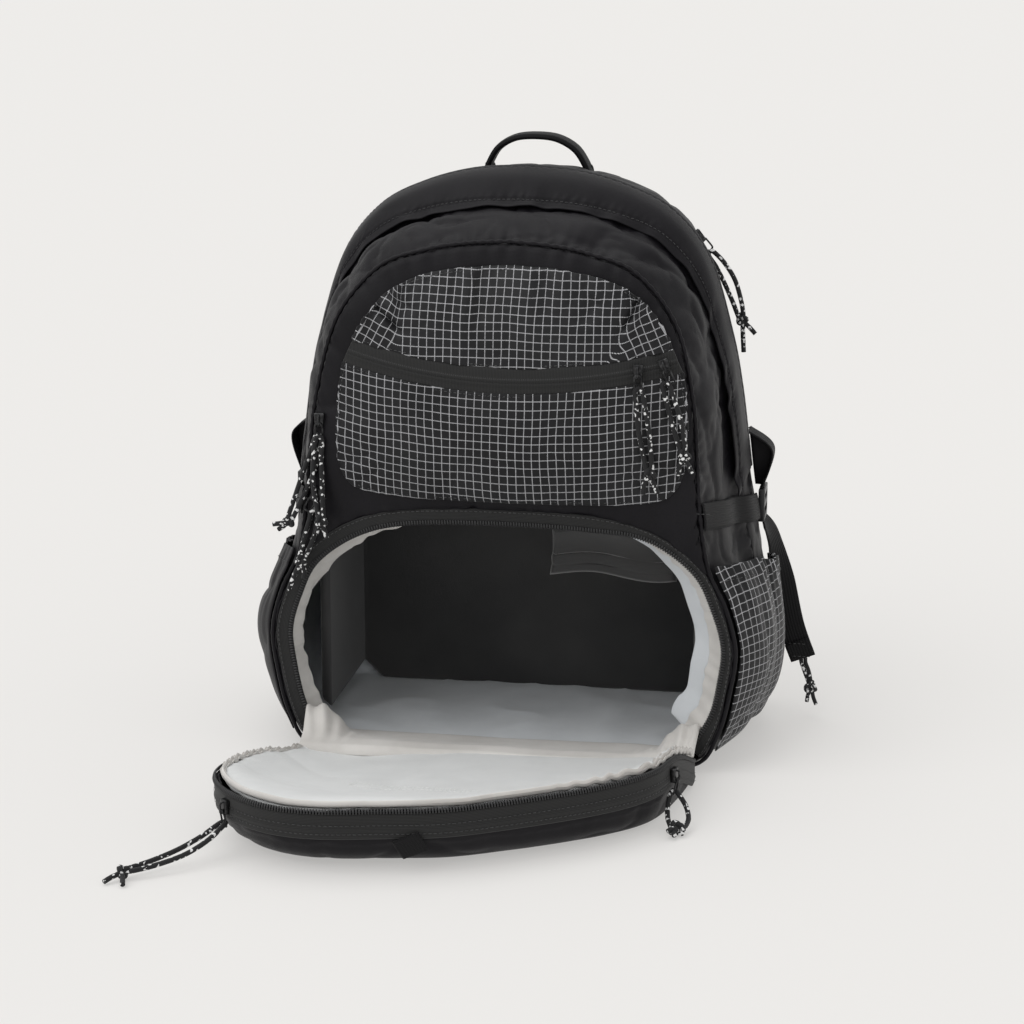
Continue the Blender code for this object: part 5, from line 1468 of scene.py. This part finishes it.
def make_pulls():
    hanging_pull("pocket_left", "pocket_slider_left", 0.0075, (0, -0.001, 0),
                 (((-0.004, 0, -0.007), (-0.005, 0, -0.015)), ((0.003, 0, -0.007), (0.006, 0, -0.014))))
    hanging_pull("pocket_right", "pocket_slider_right", 0.0070, (0.001, -0.001, 0),
                 (((-0.003, 0, -0.007), (-0.004, 0, -0.015)), ((0.003, 0, -0.007), (0.006, 0, -0.013))))
    hanging_pull("main_right", "main_slider_right", 0.0085, (0.003, -0.002, 0.003),
                 (((0.001, 0, -0.009), (0.002, 0, -0.026)), ((0.005, -0.001, -0.005), (0.011, -0.002, -0.011))),
                 start=RIGHT_START, knot=RIGHT_KNOT)
    hanging_pull("left_outer", "main_slider_left", 0.0075, (0.003, 0, 0.004),
                 (((-0.006, 0, -0.002), (-0.0125, 0, -0.003)), ((-0.004, 0, -0.004), (-0.0085, 0, -0.007))),
                 knot=(-0.1620, -0.105, 0.1853))
    hanging_pull("left_inner", "main_slider_left", 0.0070, (-0.002, 0, 0),
                 (((-0.003, 0, -0.007), (-0.004, 0, -0.010)), ((0.002, 0, -0.007), (0.004, 0, -0.013))), before=0.0043)
    hanging_pull("left_lower", "lower_slider_left", 0.0070, (0.001, 0, 0),
                 (((-0.004, 0, -0.009), (-0.010, 0, -0.024)), ((0.002, 0, -0.007), (0.002, 0, -0.014))),
                 knot=(-0.1523, -0.1085, 0.1560))
    hanging_pull("door_left", "door_slider_left", 0.0110, (0.004, 0.0, -0.004),
                 (((-0.006, -0.006, -0.002), (-0.010, -0.012, -0.0035)),
                  ((0.002, -0.008, -0.002), (0.004, -0.015, -0.0035))),
                 flat=True)
    hanging_pull("door_right", "door_slider_right", 0.0150, (0.002, 0, -0.006),
                 (((-0.003, -0.004, 0.001), (-0.006, -0.007, 0.000)),
                  ((-0.002, -0.004, -0.001), (-0.001, -0.009, -0.002))),
                 flat=True, size=0.0070)


def make_tail_cord(end):
    """Knotted cord at the end of a strap's tail."""
    knot = centre("tail_knot")
    knot_piece = joined("tail_knot", [knot_mesh(knot, (0, 0, -1), 0.0060, 0.0017)], BRAID, ["tail_knot"])
    for side, label in ((-1, "a"), (1, "b")):
        shift = np.array((0.0017 * side, 0, 0))
        points = smooth_path([end + shift, end + shift + np.array((0.0003, 0, -0.004)), (end + knot) / 2 + shift,
                              knot + shift * 0.5, knot + shift * 1.3 + np.array((0, 0, -0.008)),
                              knot + shift * 2.2 + np.array((0.0010, 0, -0.0135 - 0.001 * side))], 40)
        piece = cord_curve("tail_cord_" + label, points, TAIL_CORD, ["tail_cord"])


# Studio

def make_studio():
    """Floor, sky, lights and view."""
    bpy.ops.mesh.primitive_plane_add(size=40, location=(0, 8, -0.0002))
    floor = bpy.context.object
    floor.name = "studio_floor"
    f = Finish("pale floor", (0.395, 0.388, 0.381), 0.9, specular=0.0)
    f.shader.inputs["Emission Color"].default_value = (1.0, 0.985, 0.962, 1)
    f.shader.inputs["Emission Strength"].default_value = 0.415
    floor.data.materials.append(f.material)
    floor.select_set(False)
    world = bpy.data.worlds.new("studio")
    bpy.context.scene.world = world
    world.use_nodes = True
    sky = world.node_tree.nodes["Background"]
    sky.inputs[0].default_value = (0.93, 0.93, 0.92, 1)
    sky.inputs[1].default_value = 0.78
    for name, (place, power, spread) in SUNS.items():
        data = bpy.data.lights.new(name, "SUN")
        data.energy, data.angle = power, math.radians(spread)
        light = placed(name, data)
        light.location = place
        light.rotation_euler = (-Vector(place)).to_track_quat("-Z", "Y").to_euler()
    lens = bpy.data.cameras.new("camera")
    lens.sensor_width = VIEW_WIDTH
    lens.lens = VIEW_REACH * VIEW_WIDTH
    camera = placed("camera", lens)
    camera.location = VIEW_PLACE
    camera.rotation_euler = (math.radians(90 - VIEW_DOWN), 0, math.radians(VIEW_TURN))
    bpy.context.scene.camera = camera
    bpy.context.scene.view_settings.view_transform = "Standard"


make_studio()
make_pulls()
make_back_body()
make_front_body()
make_front_seam()
make_storm_flap()
make_front_panel()
make_pocket()
make_opening()
make_hinge_lining()
make_inner_bands()
make_compartment()
make_insert()
make_door()
for label, side in SIDES:
    make_bottle_pocket(label, side)
    tail_end = make_side_strap(label, side)
    if side > 0:
        make_tail_cord(tail_end)
    make_shoulder_strap(label, side)
make_back_panel()
make_handle()
make_sliders()
